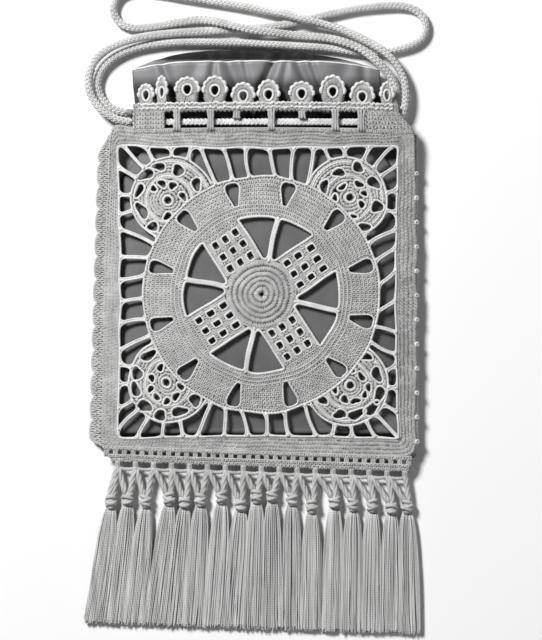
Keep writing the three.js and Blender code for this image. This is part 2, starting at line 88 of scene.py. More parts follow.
bpy.ops.object.camera_add(location=(*VIEW_CENTRE, VIEW_HEIGHT * LENS / SENSOR))
camera = bpy.context.object
camera.data.lens = LENS
camera.data.sensor_width = SENSOR
bpy.context.scene.camera = camera

# Lining. A pouch of smooth woven cloth, sewn at the sides and gathered at the mouth by the drawstring. It
# shows dark through the lace and stands above the edging as a soft ruffle. Its grey is painted by height:
# darker under the edging as painted shade, paler on the ruffle as painted light, near-black on the back lip
# as painted shadow.
CLOTH = 0.7 * MM
LINING_CLEAR = 1.4 * MM
LINING_LOW = 2.5 * MM
LINING_FOOT = -54 * MM
LINING_TOP = 171 * MM
LINING_DROOP = 5 * MM
LINING_BACK_LIP = 7 * MM
LINING_MOUTH = (-72 * MM, 81 * MM)
CASING_DEPTH = 2.9 * MM
LINING_INSETS = MM * np.array([
    (-54, 10, 10), (-42, 8, 8), (-28, 7, 7), (94, 7, 7), (112, 9, 9),
    (130, 9, 10), (142, 2, 1), (154, 1, 1), (160, 0.5, 4), (171, 0, 5),
])
LINING_FOLDS = MM * np.array([
    (-62, 1.4, 4), (-50.5, 3.4, 2.6), (-36, 1.6, 5), (-24, 2.6, 2.4), (-11, 4.8, 4.2), (-3, 1.8, 1.8),
    (8.8, 5, 3), (19, 1.6, 2), (30.8, 4.6, 3.2), (38, 2.4, 1.8), (53, 1.6, 5), (67, 2.6, 3),
])
FOLD_LEAN = 0.45
FOLD_LEAN_PITCH = 7 * MM
FOLD_PIVOT = 162 * MM
PANEL_TOP = 128.5 * MM
PANEL_TALL = 188.5 * MM
FRONT_EDGE_HEIGHT = 6.8 * MM
FRONT_MOUTH = (-74 * MM, 89 * MM)
MOUTH_LIFT = 3.2 * MM
FRONT_SWELL = 8 * MM
DRAWN_IN = (96 * MM, 128 * MM)
WEAVE = 0.55 * MM
# Grey of the lining by height in mm. The body's grey is the cloth's own; the darker stretch under the
# edging is painted shade, the paler ruffle is painted light, and the near-black back lip is painted shadow.
LINING_PAINTED_LIGHT_AND_SHADE = ((-54, 0.12), (118, 0.12), (130, 0.05), (156, 0.05), (163, 0.2), (170.5, 0.2), (172.5, 0.02))


def ease(value, low, high):
    share = np.clip((value - low) / (high - low), 0, 1)
    return share * share * (3 - 2 * share)


def left_seam(y):
    return -85 * MM - 5.5 * MM * (PANEL_TOP - y) / PANEL_TALL


def right_seam(y):
    return 97 * MM + 0.5 * MM * (PANEL_TOP - y) / PANEL_TALL


def bottom_seam(x):
    return -60 * MM - 6.6 * MM * (x + 90.5 * MM) / (188 * MM)


def front_under(x, y):
    """How high the underside of the lace front stands over the table."""
    mouth = ease(y, *DRAWN_IN)
    left = left_seam(y) + (FRONT_MOUTH[0] - left_seam(y)) * mouth
    right = right_seam(y) + (FRONT_MOUTH[1] - right_seam(y)) * mouth
    across = np.clip((2 * x - left - right) / (right - left), -1, 1)
    swell = (1 - np.abs(across) ** 3) * ease(y, bottom_seam(x), bottom_seam(x) + 70 * MM)
    return FRONT_EDGE_HEIGHT + MOUTH_LIFT * mouth + FRONT_SWELL * swell


def casing_room(y):
    """How much the lining is pressed in where the drawstring passes."""
    lip = 1 - 0.7 * ease(y, 146.5 * MM, 160 * MM)
    return CASING_DEPTH * ease(y, 106 * MM, 128 * MM) * lip


bpy.ops.mesh.primitive_grid_add(x_subdivisions=150, y_subdivisions=180, size=2)
pouch = bpy.context.object
pouch.name = "lining_pouch"
pouch_points = np.zeros(len(pouch.data.vertices) * 3)
pouch.data.vertices.foreach_get("co", pouch_points)
share_across, share_down = pouch_points.reshape(-1, 3)[:, :2].T
pouch_y = LINING_FOOT + (LINING_TOP - LINING_FOOT) * np.abs(share_down) ** 0.9
mouth_share = ease(pouch_y, *DRAWN_IN)
insets = [np.interp(pouch_y, LINING_INSETS[:, 0], LINING_INSETS[:, side]) for side in (1, 2)]
pouch_left = left_seam(pouch_y) + (LINING_MOUTH[0] - left_seam(pouch_y)) * mouth_share + insets[0]
pouch_right = right_seam(pouch_y) + (LINING_MOUTH[1] - right_seam(pouch_y)) * mouth_share - insets[1]
pouch_x = (pouch_left + pouch_right) / 2 + share_across * (pouch_right - pouch_left) / 2
fold_share = ease(pouch_y, 118 * MM, 160 * MM)
folds = np.zeros(len(pouch_x))
for x, depth, width in LINING_FOLDS:
    lean = FOLD_LEAN * np.sin(x / FOLD_LEAN_PITCH)
    aside = pouch_x - x - lean * (pouch_y - FOLD_PIVOT)
    folds += depth * fold_share * np.exp(-((aside / width) ** 2))
pouch_top = front_under(pouch_x, pouch_y) - LINING_CLEAR - casing_room(pouch_y) - folds
pouch_low = LINING_LOW + casing_room(pouch_y) + 0.3 * folds
fullness = (1 - share_across ** 6) * ease(np.abs(share_down), 0, 0.06)
pouch_height = (pouch_top + pouch_low) / 2 + np.sign(share_down) * fullness * (pouch_top - pouch_low) / 2
lip_share = ease(pouch_y, 140 * MM, LINING_TOP)
pouch_droop = LINING_DROOP * share_across ** 4 * lip_share + 0.1 * folds * lip_share
# The back lip reaches out beyond the front lip under the cords; the grey ramp paints it near-black there,
# as the painted shadow of the cords.
back_reach = LINING_BACK_LIP * (1 - share_across ** 2) * (1 - 0.35 * share_across)
back_lip = (share_down < 0) * back_reach * lip_share
shaped = np.stack([pouch_x, pouch_y - pouch_droop + back_lip, pouch_height], axis=1)
pouch.data.vertices.foreach_set("co", shaped.ravel())
front_lip = shaped[np.isclose(share_down, 1)]
bpy.ops.object.mode_set(mode="EDIT")
bpy.ops.mesh.select_all(action="SELECT")
bpy.ops.mesh.remove_doubles(threshold=0.02 * MM)
bpy.ops.mesh.normals_make_consistent(inside=False)
bpy.ops.object.mode_set(mode="OBJECT")
thickness = pouch.modifiers.new("cloth", "SOLIDIFY")
thickness.thickness = CLOTH
thickness.offset = -1
bpy.ops.object.modifier_apply(modifier="cloth")
bpy.ops.object.shade_smooth()


def group_of(name, inputs, output):
    """An empty shader group with its number inputs and one value output."""
    group = bpy.data.node_groups.new(name, "ShaderNodeTree")
    for socket, value in inputs.items():
        made = group.interface.new_socket(socket, in_out="INPUT", socket_type="NodeSocketFloat")
        made.default_value = value
    group.interface.new_socket(output, in_out="OUTPUT", socket_type="NodeSocketFloat")
    return group, group.nodes.new("NodeGroupInput"), group.nodes.new("NodeGroupOutput")


def maths(tree, operation, first, second=None):
    """One step of arithmetic on sockets or numbers in a node tree."""
    node = tree.nodes.new("ShaderNodeMath")
    node.operation = operation
    for socket, value in zip(node.inputs, (first, second)):
        if isinstance(value, (int, float)):
            socket.default_value = value
        elif value is not None:
            tree.links.new(value, socket)
    return node.outputs[0]


tone, tone_in, tone_out = group_of("uneven_tone", {"Scale": 120, "Along": 1}, "Shade")
tone_place = tone.nodes.new("ShaderNodeTexCoord")
tone_split = tone.nodes.new("ShaderNodeSeparateXYZ")
tone_join = tone.nodes.new("ShaderNodeCombineXYZ")
tone_noise = tone.nodes.new("ShaderNodeTexNoise")
tone_noise.inputs["Detail"].default_value = 4
tone.links.new(tone_place.outputs["Object"], tone_split.inputs[0])
tone.links.new(tone_split.outputs["X"], tone_join.inputs["X"])
tone_along = maths(tone, "MULTIPLY", tone_split.outputs["Y"], tone_in.outputs["Along"])
tone.links.new(tone_along, tone_join.inputs["Y"])
tone.links.new(tone_split.outputs["Z"], tone_join.inputs["Z"])
tone.links.new(tone_join.outputs["Vector"], tone_noise.inputs["Vector"])
tone.links.new(tone_in.outputs["Scale"], tone_noise.inputs["Scale"])
tone.links.new(tone_noise.outputs["Fac"], tone_out.inputs["Shade"])

lining_cloth = bpy.data.materials.new("lining_cloth")
lining_cloth.use_nodes = True
cloth_tree = lining_cloth.node_tree
cloth_shader = cloth_tree.nodes["Principled BSDF"]
cloth_shader.inputs["Roughness"].default_value = 0.48
cloth_shader.inputs["Sheen Weight"].default_value = 0.1
cloth_place = cloth_tree.nodes.new("ShaderNodeTexCoord")
cloth_split = cloth_tree.nodes.new("ShaderNodeSeparateXYZ")
cloth_tree.links.new(cloth_place.outputs["Object"], cloth_split.inputs[0])
# The lining's grey and gloss follow the ramp by height, with its painted shade, painted light and painted
# shadow.
painted_light_and_shade_span = cloth_tree.nodes.new("ShaderNodeMapRange")
painted_light_and_shade_span.inputs["From Min"].default_value = LINING_PAINTED_LIGHT_AND_SHADE[0][0] * MM
painted_light_and_shade_span.inputs["From Max"].default_value = LINING_PAINTED_LIGHT_AND_SHADE[-1][0] * MM
cloth_tree.links.new(cloth_split.outputs["Y"], painted_light_and_shade_span.inputs["Value"])
painted_light_and_shade_ramp = cloth_tree.nodes.new("ShaderNodeValToRGB")
cloth_stops = painted_light_and_shade_ramp.color_ramp.elements
cloth_stops.remove(cloth_stops[1])
for y, grey in LINING_PAINTED_LIGHT_AND_SHADE:
    share = (y - LINING_PAINTED_LIGHT_AND_SHADE[0][0]) / (LINING_PAINTED_LIGHT_AND_SHADE[-1][0] - LINING_PAINTED_LIGHT_AND_SHADE[0][0])
    stop = cloth_stops.new(share) if share > 0 else cloth_stops[0]
    stop.color = (grey, grey, 1.03 * grey, 1)
cloth_tree.links.new(painted_light_and_shade_span.outputs["Result"], painted_light_and_shade_ramp.inputs["Fac"])
cloth_gloss = maths(cloth_tree, "MULTIPLY", painted_light_and_shade_ramp.outputs["Color"], 2.5)
cloth_tree.links.new(cloth_gloss, cloth_shader.inputs["Specular IOR Level"])
cloth_shade = cloth_tree.nodes.new("ShaderNodeGroup")
cloth_shade.node_tree = tone
cloth_shade.inputs["Scale"].default_value = 70
cloth_mottle = cloth_tree.nodes.new("ShaderNodeMix")
cloth_mottle.data_type = "RGBA"
cloth_mottle.blend_type = "OVERLAY"
cloth_mottle.inputs["Factor"].default_value = 0.35
cloth_tree.links.new(painted_light_and_shade_ramp.outputs["Color"], cloth_mottle.inputs["A"])
cloth_tree.links.new(cloth_shade.outputs["Shade"], cloth_mottle.inputs["B"])
cloth_tree.links.new(cloth_mottle.outputs["Result"], cloth_shader.inputs["Base Color"])
weave_heights = []
for axis in ("X", "Y"):
    yarns = maths(cloth_tree, "MULTIPLY", cloth_split.outputs[axis], 2 * math.pi / WEAVE)
    weave_heights.append(maths(cloth_tree, "SINE", yarns))
weave_bump = cloth_tree.nodes.new("ShaderNodeBump")
weave_bump.inputs["Strength"].default_value = 0.35
weave_bump.inputs["Distance"].default_value = 0.06 * MM
cloth_tree.links.new(maths(cloth_tree, "MULTIPLY", *weave_heights), weave_bump.inputs["Height"])
cloth_tree.links.new(weave_bump.outputs["Normal"], cloth_shader.inputs["Normal"])
pouch.data.materials.append(lining_cloth)
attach(pouch, "root")
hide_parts("lining")

# Hem of the lining. A fine white cotton thread is whipped along the front lip of the gathered
# mouth, over the edge of the cloth.
HEM_YARN = 0.5 * MM
HEM_DROP = 0.2 * MM


def unit(vectors):
    return vectors / np.maximum(np.linalg.norm(vectors, axis=-1, keepdims=True), 1e-12)


def lengths_along(line):
    return np.concatenate([[0], np.cumsum(np.linalg.norm(np.diff(line, axis=0), axis=1))])


def even_steps(line, step, closed=False):
    """The line again, as points an even step apart."""
    if closed:
        line = np.vstack([line, line[:1]])
    run = lengths_along(line)
    places = np.linspace(0, run[-1], max(3, round(run[-1] / step)) + 1)
    if closed:
        places = places[:-1]
    return np.stack([np.interp(places, run, column) for column in line.T], axis=1)


def headings(paths, closed=False, up=(0, 0, 1)):
    """Unit directions across and above the paths."""
    if closed:
        ahead = np.roll(paths, -1, axis=1) - np.roll(paths, 1, axis=1)
    else:
        ahead = np.gradient(paths, axis=1)
    ahead = unit(ahead)
    across = unit(np.cross(up, ahead))
    return across, np.cross(ahead, across)


def threads(paths, radius, sides=6, closed=False, up=(0, 0, 1)):
    """Round threads along paths of equal length: their points, faces and UVs along and around."""
    paths = np.asarray(paths, float)
    many, long = paths.shape[:2]
    across, above = headings(paths, closed, up)
    turn = np.arange(sides) * 2 * np.pi / sides
    reach = np.broadcast_to(radius, (many, long))[..., None, None]
    ring = np.cos(turn)[:, None] * across[:, :, None] + np.sin(turn)[:, None] * above[:, :, None]
    points = (paths[:, :, None] + reach * ring).reshape(-1, 3)
    index = np.arange(many * long * sides).reshape(many, long, sides)
    here = index if closed else index[:, :-1]
    there = np.roll(index, -1, axis=1) if closed else index[:, 1:]
    walls = np.stack([here, np.roll(here, -1, 2), np.roll(there, -1, 2), there], axis=-1)
    step = np.linalg.norm(np.roll(paths, -1, axis=1) - paths, axis=2)
    run = np.concatenate([np.zeros((many, 1)), np.cumsum(step, axis=1)], axis=1)
    count = here.shape[1]
    begin = np.broadcast_to(run[:, :count, None], here.shape)
    finish = np.broadcast_to(run[:, 1:count + 1, None], here.shape)
    left = np.broadcast_to(np.arange(sides) / sides, here.shape)
    right = left + 1 / sides
    lay = np.stack([begin, left, begin, right, finish, right, finish, left], axis=-1)
    faces = [walls.reshape(-1, 4)]
    lays = [lay.reshape(-1, 4, 2)]
    if not closed:
        for corner in range(1, sides - 2, 2):
            faces.append(index[:, -1, [0, corner, corner + 1, corner + 2]])
            faces.append(index[:, 0, [0, corner + 2, corner + 1, corner]])
            lays.append(np.zeros((2 * many, 4, 2)))
    return points, np.vstack(faces), np.vstack(lays)


twist, twist_in, twist_out = group_of("ply_twist", {"Turns per metre": 900, "Plies": 3}, "Height")
lay_map = twist.nodes.new("ShaderNodeUVMap")
lay_map.uv_map = "lay"
lay_split = twist.nodes.new("ShaderNodeSeparateXYZ")
twist.links.new(lay_map.outputs["UV"], lay_split.inputs[0])
along_turns = maths(twist, "MULTIPLY", lay_split.outputs["X"], twist_in.outputs["Turns per metre"])
around_turns = maths(twist, "MULTIPLY", lay_split.outputs["Y"], twist_in.outputs["Plies"])
ply_phase = maths(twist, "MULTIPLY", maths(twist, "ADD", along_turns, around_turns), 2 * math.pi)
twist.links.new(maths(twist, "SINE", ply_phase), twist_out.inputs["Height"])


def cotton(name, dark, light, scale=160, along=1, turns=900, plies=3, depth=0.12 * MM):
    """Matt cotton thread with an uneven tone and the twist of its plies."""
    finish = bpy.data.materials.new(name)
    finish.use_nodes = True
    nodes, links = finish.node_tree.nodes, finish.node_tree.links
    shader = nodes["Principled BSDF"]
    shader.inputs["Roughness"].default_value = 0.85
    shader.inputs["Specular IOR Level"].default_value = 0.2
    shader.inputs["Sheen Weight"].default_value = 0.1
    shade = nodes.new("ShaderNodeGroup")
    shade.node_tree = tone
    shade.inputs["Scale"].default_value = scale
    shade.inputs["Along"].default_value = along
    ramp = nodes.new("ShaderNodeValToRGB")
    ramp.color_ramp.elements[0].position = 0.3
    ramp.color_ramp.elements[0].color = (dark, dark, dark * 0.99, 1)
    ramp.color_ramp.elements[1].position = 0.7
    ramp.color_ramp.elements[1].color = (light, light, light * 0.99, 1)
    links.new(shade.outputs["Shade"], ramp.inputs["Fac"])
    links.new(ramp.outputs["Color"], shader.inputs["Base Color"])
    plied = nodes.new("ShaderNodeGroup")
    plied.node_tree = twist
    plied.inputs["Turns per metre"].default_value = turns
    plied.inputs["Plies"].default_value = plies
    bump = nodes.new("ShaderNodeBump")
    bump.inputs["Strength"].default_value = 0.6
    bump.inputs["Distance"].default_value = depth
    links.new(plied.outputs["Height"], bump.inputs["Height"])
    links.new(bump.outputs["Normal"], shader.inputs["Normal"])
    return finish


def joined(name, parts, finish, slot, *nodes, ground=(), ground_finish=None):
    """One piece from its threads and the ground under them, in place of the CAD nodes named."""
    every = [*parts, *ground]
    starts = np.cumsum([0] + [len(points) for points, _, _ in every])
    points = np.vstack([points for points, _, _ in every])
    faces = np.vstack([faces + start for (_, faces, _), start in zip(every, starts)])
    mesh = bpy.data.meshes.new(name)
    mesh.from_pydata(points, [], faces.tolist())
    lays = np.vstack([lay for _, _, lay in every])
    mesh.uv_layers.new(name="lay").data.foreach_set("uv", lays.ravel())
    mesh.polygons.foreach_set("use_smooth", np.ones(len(faces), bool))
    mesh.materials.append(finish)
    if ground:
        mesh.materials.append(ground_finish)
        deep = np.arange(len(faces)) >= sum(len(faces) for _, faces, _ in parts)
        mesh.polygons.foreach_set("material_index", deep.astype(int))
    piece = bpy.data.objects.new(name, mesh)
    bpy.context.scene.collection.objects.link(piece)
    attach(piece, "root")
    if nodes:
        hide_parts(*nodes)
    return piece


hem_cotton = cotton("hem_thread", 0.7, 0.9, scale=200)
hem_line = even_steps(front_lip[np.argsort(front_lip[:, 0])], 2 * MM)
hem_thread = threads(hem_line[None] - (0, HEM_DROP, 0), HEM_YARN)
hem = joined("lining_hem", [hem_thread], hem_cotton, "lining")

# Crochet back. A plain square of single crochet that the bag lies on, in straight rows, with
# its right side down on the table.
STITCH = 2.5 * MM
YARN = 0.58 * MM
BACK_COLUMNS = 64
chance = np.random.default_rng(17)


def slab(grid, low, high, closed=False):
    """The ground under a grid of stitches, between two heights."""
    rows, columns = grid.shape[:2]
    points = np.concatenate([
        np.concatenate([grid, np.broadcast_to(height, grid.shape[:2])[..., None]], axis=2).reshape(-1, 3)
        for height in (high, low)
    ])
    index = np.arange(rows * columns).reshape(rows, columns)
    if closed:
        index = np.concatenate([index, index[:, :1]], axis=1)
    top = np.stack([index[:-1, :-1], index[:-1, 1:], index[1:, 1:], index[1:, :-1]], axis=-1).reshape(-1, 4)
    edges = [index[0], index[-1][::-1]]
    if not closed:
        edges += [index[::-1, 0], index[:, -1]]
    below = rows * columns
    sides = [
        np.stack([edge[1:], edge[:-1], edge[:-1] + below, edge[1:] + below], axis=-1)
        for edge in edges
    ]
    faces = np.vstack([top, top[:, ::-1] + below, *sides])
    a, b, c = (points[top[0, i], :2] for i in range(3))
    if (b[0] - a[0]) * (c[1] - a[1]) - (b[1] - a[1]) * (c[0] - a[0]) < 0:
        faces = faces[:, ::-1]
    return points, faces, np.zeros((len(faces), 4, 2))


def lifted(places, over, height=front_under):
    """Flat places raised onto the worked surface."""
    return np.concatenate([places, (height(places[..., 0], places[..., 1]) + over)[..., None]], axis=-1)


def laid(line, over, yarn, height=front_under, sides=6, closed=False):
    """One thread laid along a flat line on the worked surface."""
    return threads(lifted(line, over, height)[None], yarn, sides, closed)


def single_crochet(
    foot, head, height=front_under, closed=False, base=1.1 * MM, yarn=YARN, ridge=1, relief=1,
):
    """A row of slightly uneven V stitches from foot to head, and the ridge along their heads."""
    middle = (foot + head) / 2
    if closed:
        ahead = (np.roll(middle, -1, axis=0) - np.roll(middle, 1, axis=0)) / 2
    else:
        ahead = np.gradient(middle, axis=0)
    wide = 0.34 * ahead
    flat = np.stack([head - wide, middle - 0.8 * wide, foot, middle + 0.8 * wide, head + wide], axis=1)
    flat = flat + chance.normal(0, 0.12 * MM, (len(foot), 1, 2))
    arch = relief * MM * np.array([0.1, 0.5, 0, 0.5, 0.1])
    over = base + arch + chance.normal(0, 0.08 * MM, (len(foot), 1))
    parts = [threads(lifted(flat, over, height), yarn * np.array([0.9, 1.05, 0.9, 1.05, 0.9]), sides=4)]
    if ridge:
        if closed:
            between = (head + np.roll(head, -1, axis=0)) / 2
        else:
            between = np.vstack([(head[:-1] + head[1:]) / 2, head[-1:] + ahead[-1:] / 2])
        line = np.stack([head, between], axis=1).reshape(-1, 2)
        swing = ridge * np.tile([0.55 * MM, 0.1 * MM], len(head))
        parts.append(laid(line, base + swing, ridge * yarn, height, sides=4, closed=closed))
    return parts


def on_table(x, y):
    return np.zeros(np.shape(x))


back_rows = np.arange(bottom_seam(0), PANEL_TOP, STITCH)
back_lines = []
for row_y in back_rows:
    row_x = np.linspace(left_seam(row_y) + 0.6 * MM, right_seam(row_y) - 0.6 * MM, BACK_COLUMNS)
    tilt = (bottom_seam(row_x) - bottom_seam(0)) * (PANEL_TOP - row_y) / (PANEL_TOP - bottom_seam(0))
    back_lines.append(np.stack([row_x, row_y + tilt], axis=1))
back_grid = np.array(back_lines)
back_parts = []
for foot, head in zip(back_grid, back_grid[1:]):
    back_parts += single_crochet(foot, head, on_table, base=0.65 * MM, yarn=0.45 * MM, ridge=0)
crochet_cotton = cotton("crochet_cotton", 0.4, 0.56, scale=140, turns=1500)
# The ground under the stitches and the cords' cores are painted dark, as painted shade deep between the
# stitches.
painted_shade_cotton = cotton("painted_shade_cotton", 0.2, 0.3, scale=200, depth=0.05 * MM)
back_ground = [slab(back_grid, 0.8 * MM, 2.1 * MM)]
joined(
    "crochet_back", back_parts, crochet_cotton, "crochet", "back_panel",
    ground=back_ground, ground_finish=painted_shade_cotton,
)

# Lace front, border. Five rounds of single crochet frame the window that the lace hangs in, from
# the edge of the window out to the seams.
PANEL_CORNERS = MM * np.array([(97, 128.5), (-85, 128.5), (-90.5, -60), (97.5, -66.6)])
WINDOW_CORNERS = MM * np.array([(87.3, 120.4), (-80.7, 120.4), (-80.7, -54.8), (87.3, -54.8)])
BORDER_ROUNDS = 5
BORDER_STITCHES = 360
BORDER_YARN = 0.66 * MM
CORNER_PEAKS = ((1, 2 * MM, 13 * MM, 5 * MM), (0, -4 * MM, 9 * MM, 4 * MM))


def rounded_loop(corners, radius, bow, step):
    """A closed four-sided loop with rounded corners and slightly bowed sides."""
    line = []
    for before, corner, after in zip(np.roll(corners, 1, 0), corners, np.roll(corners, -1, 0)):
        start = corner + radius * unit(before - corner)
        end = corner + radius * unit(after - corner)
        t = np.linspace(0, 1, 9)[:, None]
        line.append((1 - t) ** 2 * start + 2 * t * (1 - t) * corner + t ** 2 * end)
        along = after + radius * unit(corner - after) - end
        outward = unit(np.array([along[1], -along[0]]))
        t = np.linspace(0, 1, 40)[1:-1, None]
        line.append(end + along * t + outward * bow * np.sin(np.pi * t))
    return even_steps(np.vstack(line), step, closed=True)


def border_loop(share):
    corners = WINDOW_CORNERS + (PANEL_CORNERS - WINDOW_CORNERS) * share
    loop = rounded_loop(corners, (2 + 6 * share) * MM, (-1.6 + 2.8 * share) * MM, 0.8 * MM)
    for corner, inward, wide, rise in CORNER_PEAKS:
        peak = np.exp(-((loop[:, 0] - corners[corner, 0] - inward) / wide) ** 2)
        loop[:, 1] += rise * share * peak * ease(loop[:, 1], 100 * MM, 128 * MM)
    run = lengths_along(np.vstack([loop, loop[:1]]))
    return even_steps(loop, run[-1] / BORDER_STITCHES, closed=True)


def handmade(parts):
    """The parts of the lace, pulled a little out of true."""
    pulled = []
    for points, faces, lay in parts:
        x, y = points[:, 0] / MM, points[:, 1] / MM
        aside = 0.35 * np.sin(y / 6.1 + 1) * np.sin(x / 9.3) + 0.22 * np.sin((x + y) / 4.7)
        along = 0.35 * np.sin(x / 5.7 + 2) * np.sin(y / 8.9) + 0.22 * np.sin((x - y) / 5.1 + 1)
        pulled.append((points + MM * np.stack([aside, along, 0 * x], axis=1), faces, lay))
    return pulled


def on_crown(grid, closed=False, top=1 * MM):
    under = front_under(grid[..., 0], grid[..., 1])
    return slab(grid, under + 0.2 * MM, under + top, closed)


border_grid = np.array([border_loop(i / BORDER_ROUNDS) for i in range(BORDER_ROUNDS + 1)])
border_parts = []
for number, (foot, head) in enumerate(zip(border_grid, border_grid[1:])):
    if number % 2:
        foot, head = [(row + np.roll(row, -1, axis=0)) / 2 for row in (foot, head)]
    border_parts += single_crochet(
        foot, head, closed=True, base=1.1 * MM, yarn=BORDER_YARN, ridge=0, relief=0.15,
    )
border_cotton = cotton("border_cotton", 0.34, 0.5, scale=140, turns=1500)
joined(
    "lace_border", handmade(border_parts), border_cotton, "crochet",
    ground=handmade([on_crown(border_grid, closed=True, top=1.35 * MM)]), ground_finish=border_cotton,
)

# Lace front, medallion. A hub in six rounds, four meshed tabs and four spokes carry a ring with twelve
# blocks of single crochet, with a slit between each two blocks and a last row round them all.
MEDALLION = MM * np.array([5.4, 31.3])
HUB_ROUNDS = MM * np.array([1.4, 4.6, 7.7, 10.7, 13.8, 16.9, 20.6])
HUB_STITCH = 1.7 * MM
FULL_YARN = 0.64 * MM
RING = (47 * MM, 54 * MM)
BLOCKS = (54 * MM, 68.6 * MM)
BLOCK_COUNT = 12
BLOCK_TURN = 360 / BLOCK_COUNT
MEDALLION_RIM = 70.6 * MM
SLIT_REACH = MM * np.array([53.6, 65, 67.2, 69.2])
SLIT_HALF = MM * np.array([1.4, 4.7, 4.5, 3.2])
SLIT_TURN = 15.5
TAB_TURN = 33
TAB_HALF = 12.4 * MM
TAB_ROWS = MM * np.array([22.8, 31.2, 39.6])
TAB_COLUMNS = MM * np.array([-7.2, 0, 7.2])
TAB_HOLE = (2.6 * MM, 2.2 * MM)
TAB_EDGE = (17 * MM, 45.6 * MM)


def around(radius, degrees, centre=MEDALLION):
    angle = np.radians(degrees)
    return centre + np.stack([radius * np.cos(angle), radius * np.sin(angle)], axis=-1)


def on_tab(axis, out, across):
    angle = math.radians(axis)
    ahead = np.array([math.cos(angle), math.sin(angle)])
    aside = np.array([-math.sin(angle), math.cos(angle)])
    return MEDALLION + np.multiply.outer(out, ahead) + np.multiply.outer(across, aside)


def tab_edge(axis, side):
    return on_tab(axis, np.linspace(*TAB_EDGE, 24), np.full(24, side * TAB_HALF))


def beaded(count, yarn, beads=2, share=0.14):
    """Radii of a thread that swells at each stitch."""
    return yarn * (1 + share * np.cos(np.arange(count) * 2 * np.pi / beads))


medallion_parts, medallion_ground = [], []
for inner, outer in zip(HUB_ROUNDS, HUB_ROUNDS[1:]):
    turns = np.linspace(0, 360, round(np.pi * (inner + outer) / HUB_STITCH), endpoint=False)
    foot, head = around(inner, turns), around(outer, turns)
    last = int(outer == HUB_ROUNDS[-1])
    medallion_parts += single_crochet(foot, head, closed=True, yarn=FULL_YARN, ridge=last, relief=1.3)
disc_turns = np.linspace(0, 360, 49)[:-1]
medallion_ground.append(on_crown(np.array([around(r, disc_turns) for r in HUB_ROUNDS]), closed=True))

ring_turns = np.linspace(0, 360, 129)[:-1]
for radii in (np.linspace(*RING, 4), np.array([BLOCKS[1], MEDALLION_RIM])):
    lines = np.array([around(r, ring_turns) for r in radii])
    medallion_ground.append(on_crown(lines, closed=True))
    for foot, head in zip(lines, lines[1:]):
        medallion_parts += single_crochet(foot, head, closed=True, ridge=1.3)

block_radii = np.linspace(*BLOCKS, 7)
for block in range(BLOCK_COUNT):
    axis = SLIT_TURN + BLOCK_TURN * (block + 0.5)
    slit = np.interp(block_radii, SLIT_REACH, SLIT_HALF)
    half = BLOCK_TURN / 2 - np.degrees(np.arcsin((slit + 0.3 * MM) / block_radii))
    lines = np.array([around(r, axis + np.linspace(-h, h, 11)) for r, h in zip(block_radii, half)])
    medallion_ground.append(on_crown(lines))
    rows = (lines[:, :-1] + lines[:, 1:]) / 2
    for foot, head in zip(rows, rows[1:]):
        medallion_parts += single_crochet(foot, head, yarn=FULL_YARN)

tab_bands = [(HUB_ROUNDS[-1] - 1.5 * MM, TAB_ROWS[0] - TAB_HOLE[0])]
tab_bands += [(a + TAB_HOLE[0], b - TAB_HOLE[0]) for a, b in zip(TAB_ROWS, TAB_ROWS[1:])]
tab_bands += [(TAB_ROWS[2] + TAB_HOLE[0], RING[0] + 0.3 * MM)]
tab_posts = [(-TAB_HALF, TAB_COLUMNS[0] - TAB_HOLE[1]), (TAB_COLUMNS[0] + TAB_HOLE[1], -TAB_HOLE[1])]
tab_posts += [(-high, -low) for low, high in tab_posts]
for tab in range(4):
    axis = TAB_TURN + 90 * tab
    for start, end in tab_bands:
        outs = np.linspace(start, end, max(1, round((end - start) / STITCH)) + 1)
        across = np.linspace(-TAB_HALF, TAB_HALF, 11)
        lines = np.array([on_tab(axis, np.full(11, out), across) for out in outs])
        medallion_ground.append(on_crown(lines))
        rows = (lines[:, :-1] + lines[:, 1:]) / 2
        for foot, head in zip(rows, rows[1:]):
            medallion_parts += single_crochet(foot, head)
    for side in (-1, 1):
        medallion_parts.append(laid(tab_edge(axis, side), 1.1 * MM, 0.8 * MM))
    outs = np.linspace(tab_bands[0][1] - MM, tab_bands[-1][0] + MM, 16)
    for low, high in tab_posts:
        for lane in np.linspace(low + 0.5 * MM, high - 0.5 * MM, max(2, round((high - low) / MM))):
            line = on_tab(axis, outs, np.full(16, lane))
            medallion_parts.append(laid(line, 1.1 * MM, beaded(16, 0.66 * MM)))
joined(
    "lace_medallion", handmade(medallion_parts), crochet_cotton, "crochet",
    ground=handmade(medallion_ground), ground_finish=painted_shade_cotton,
)

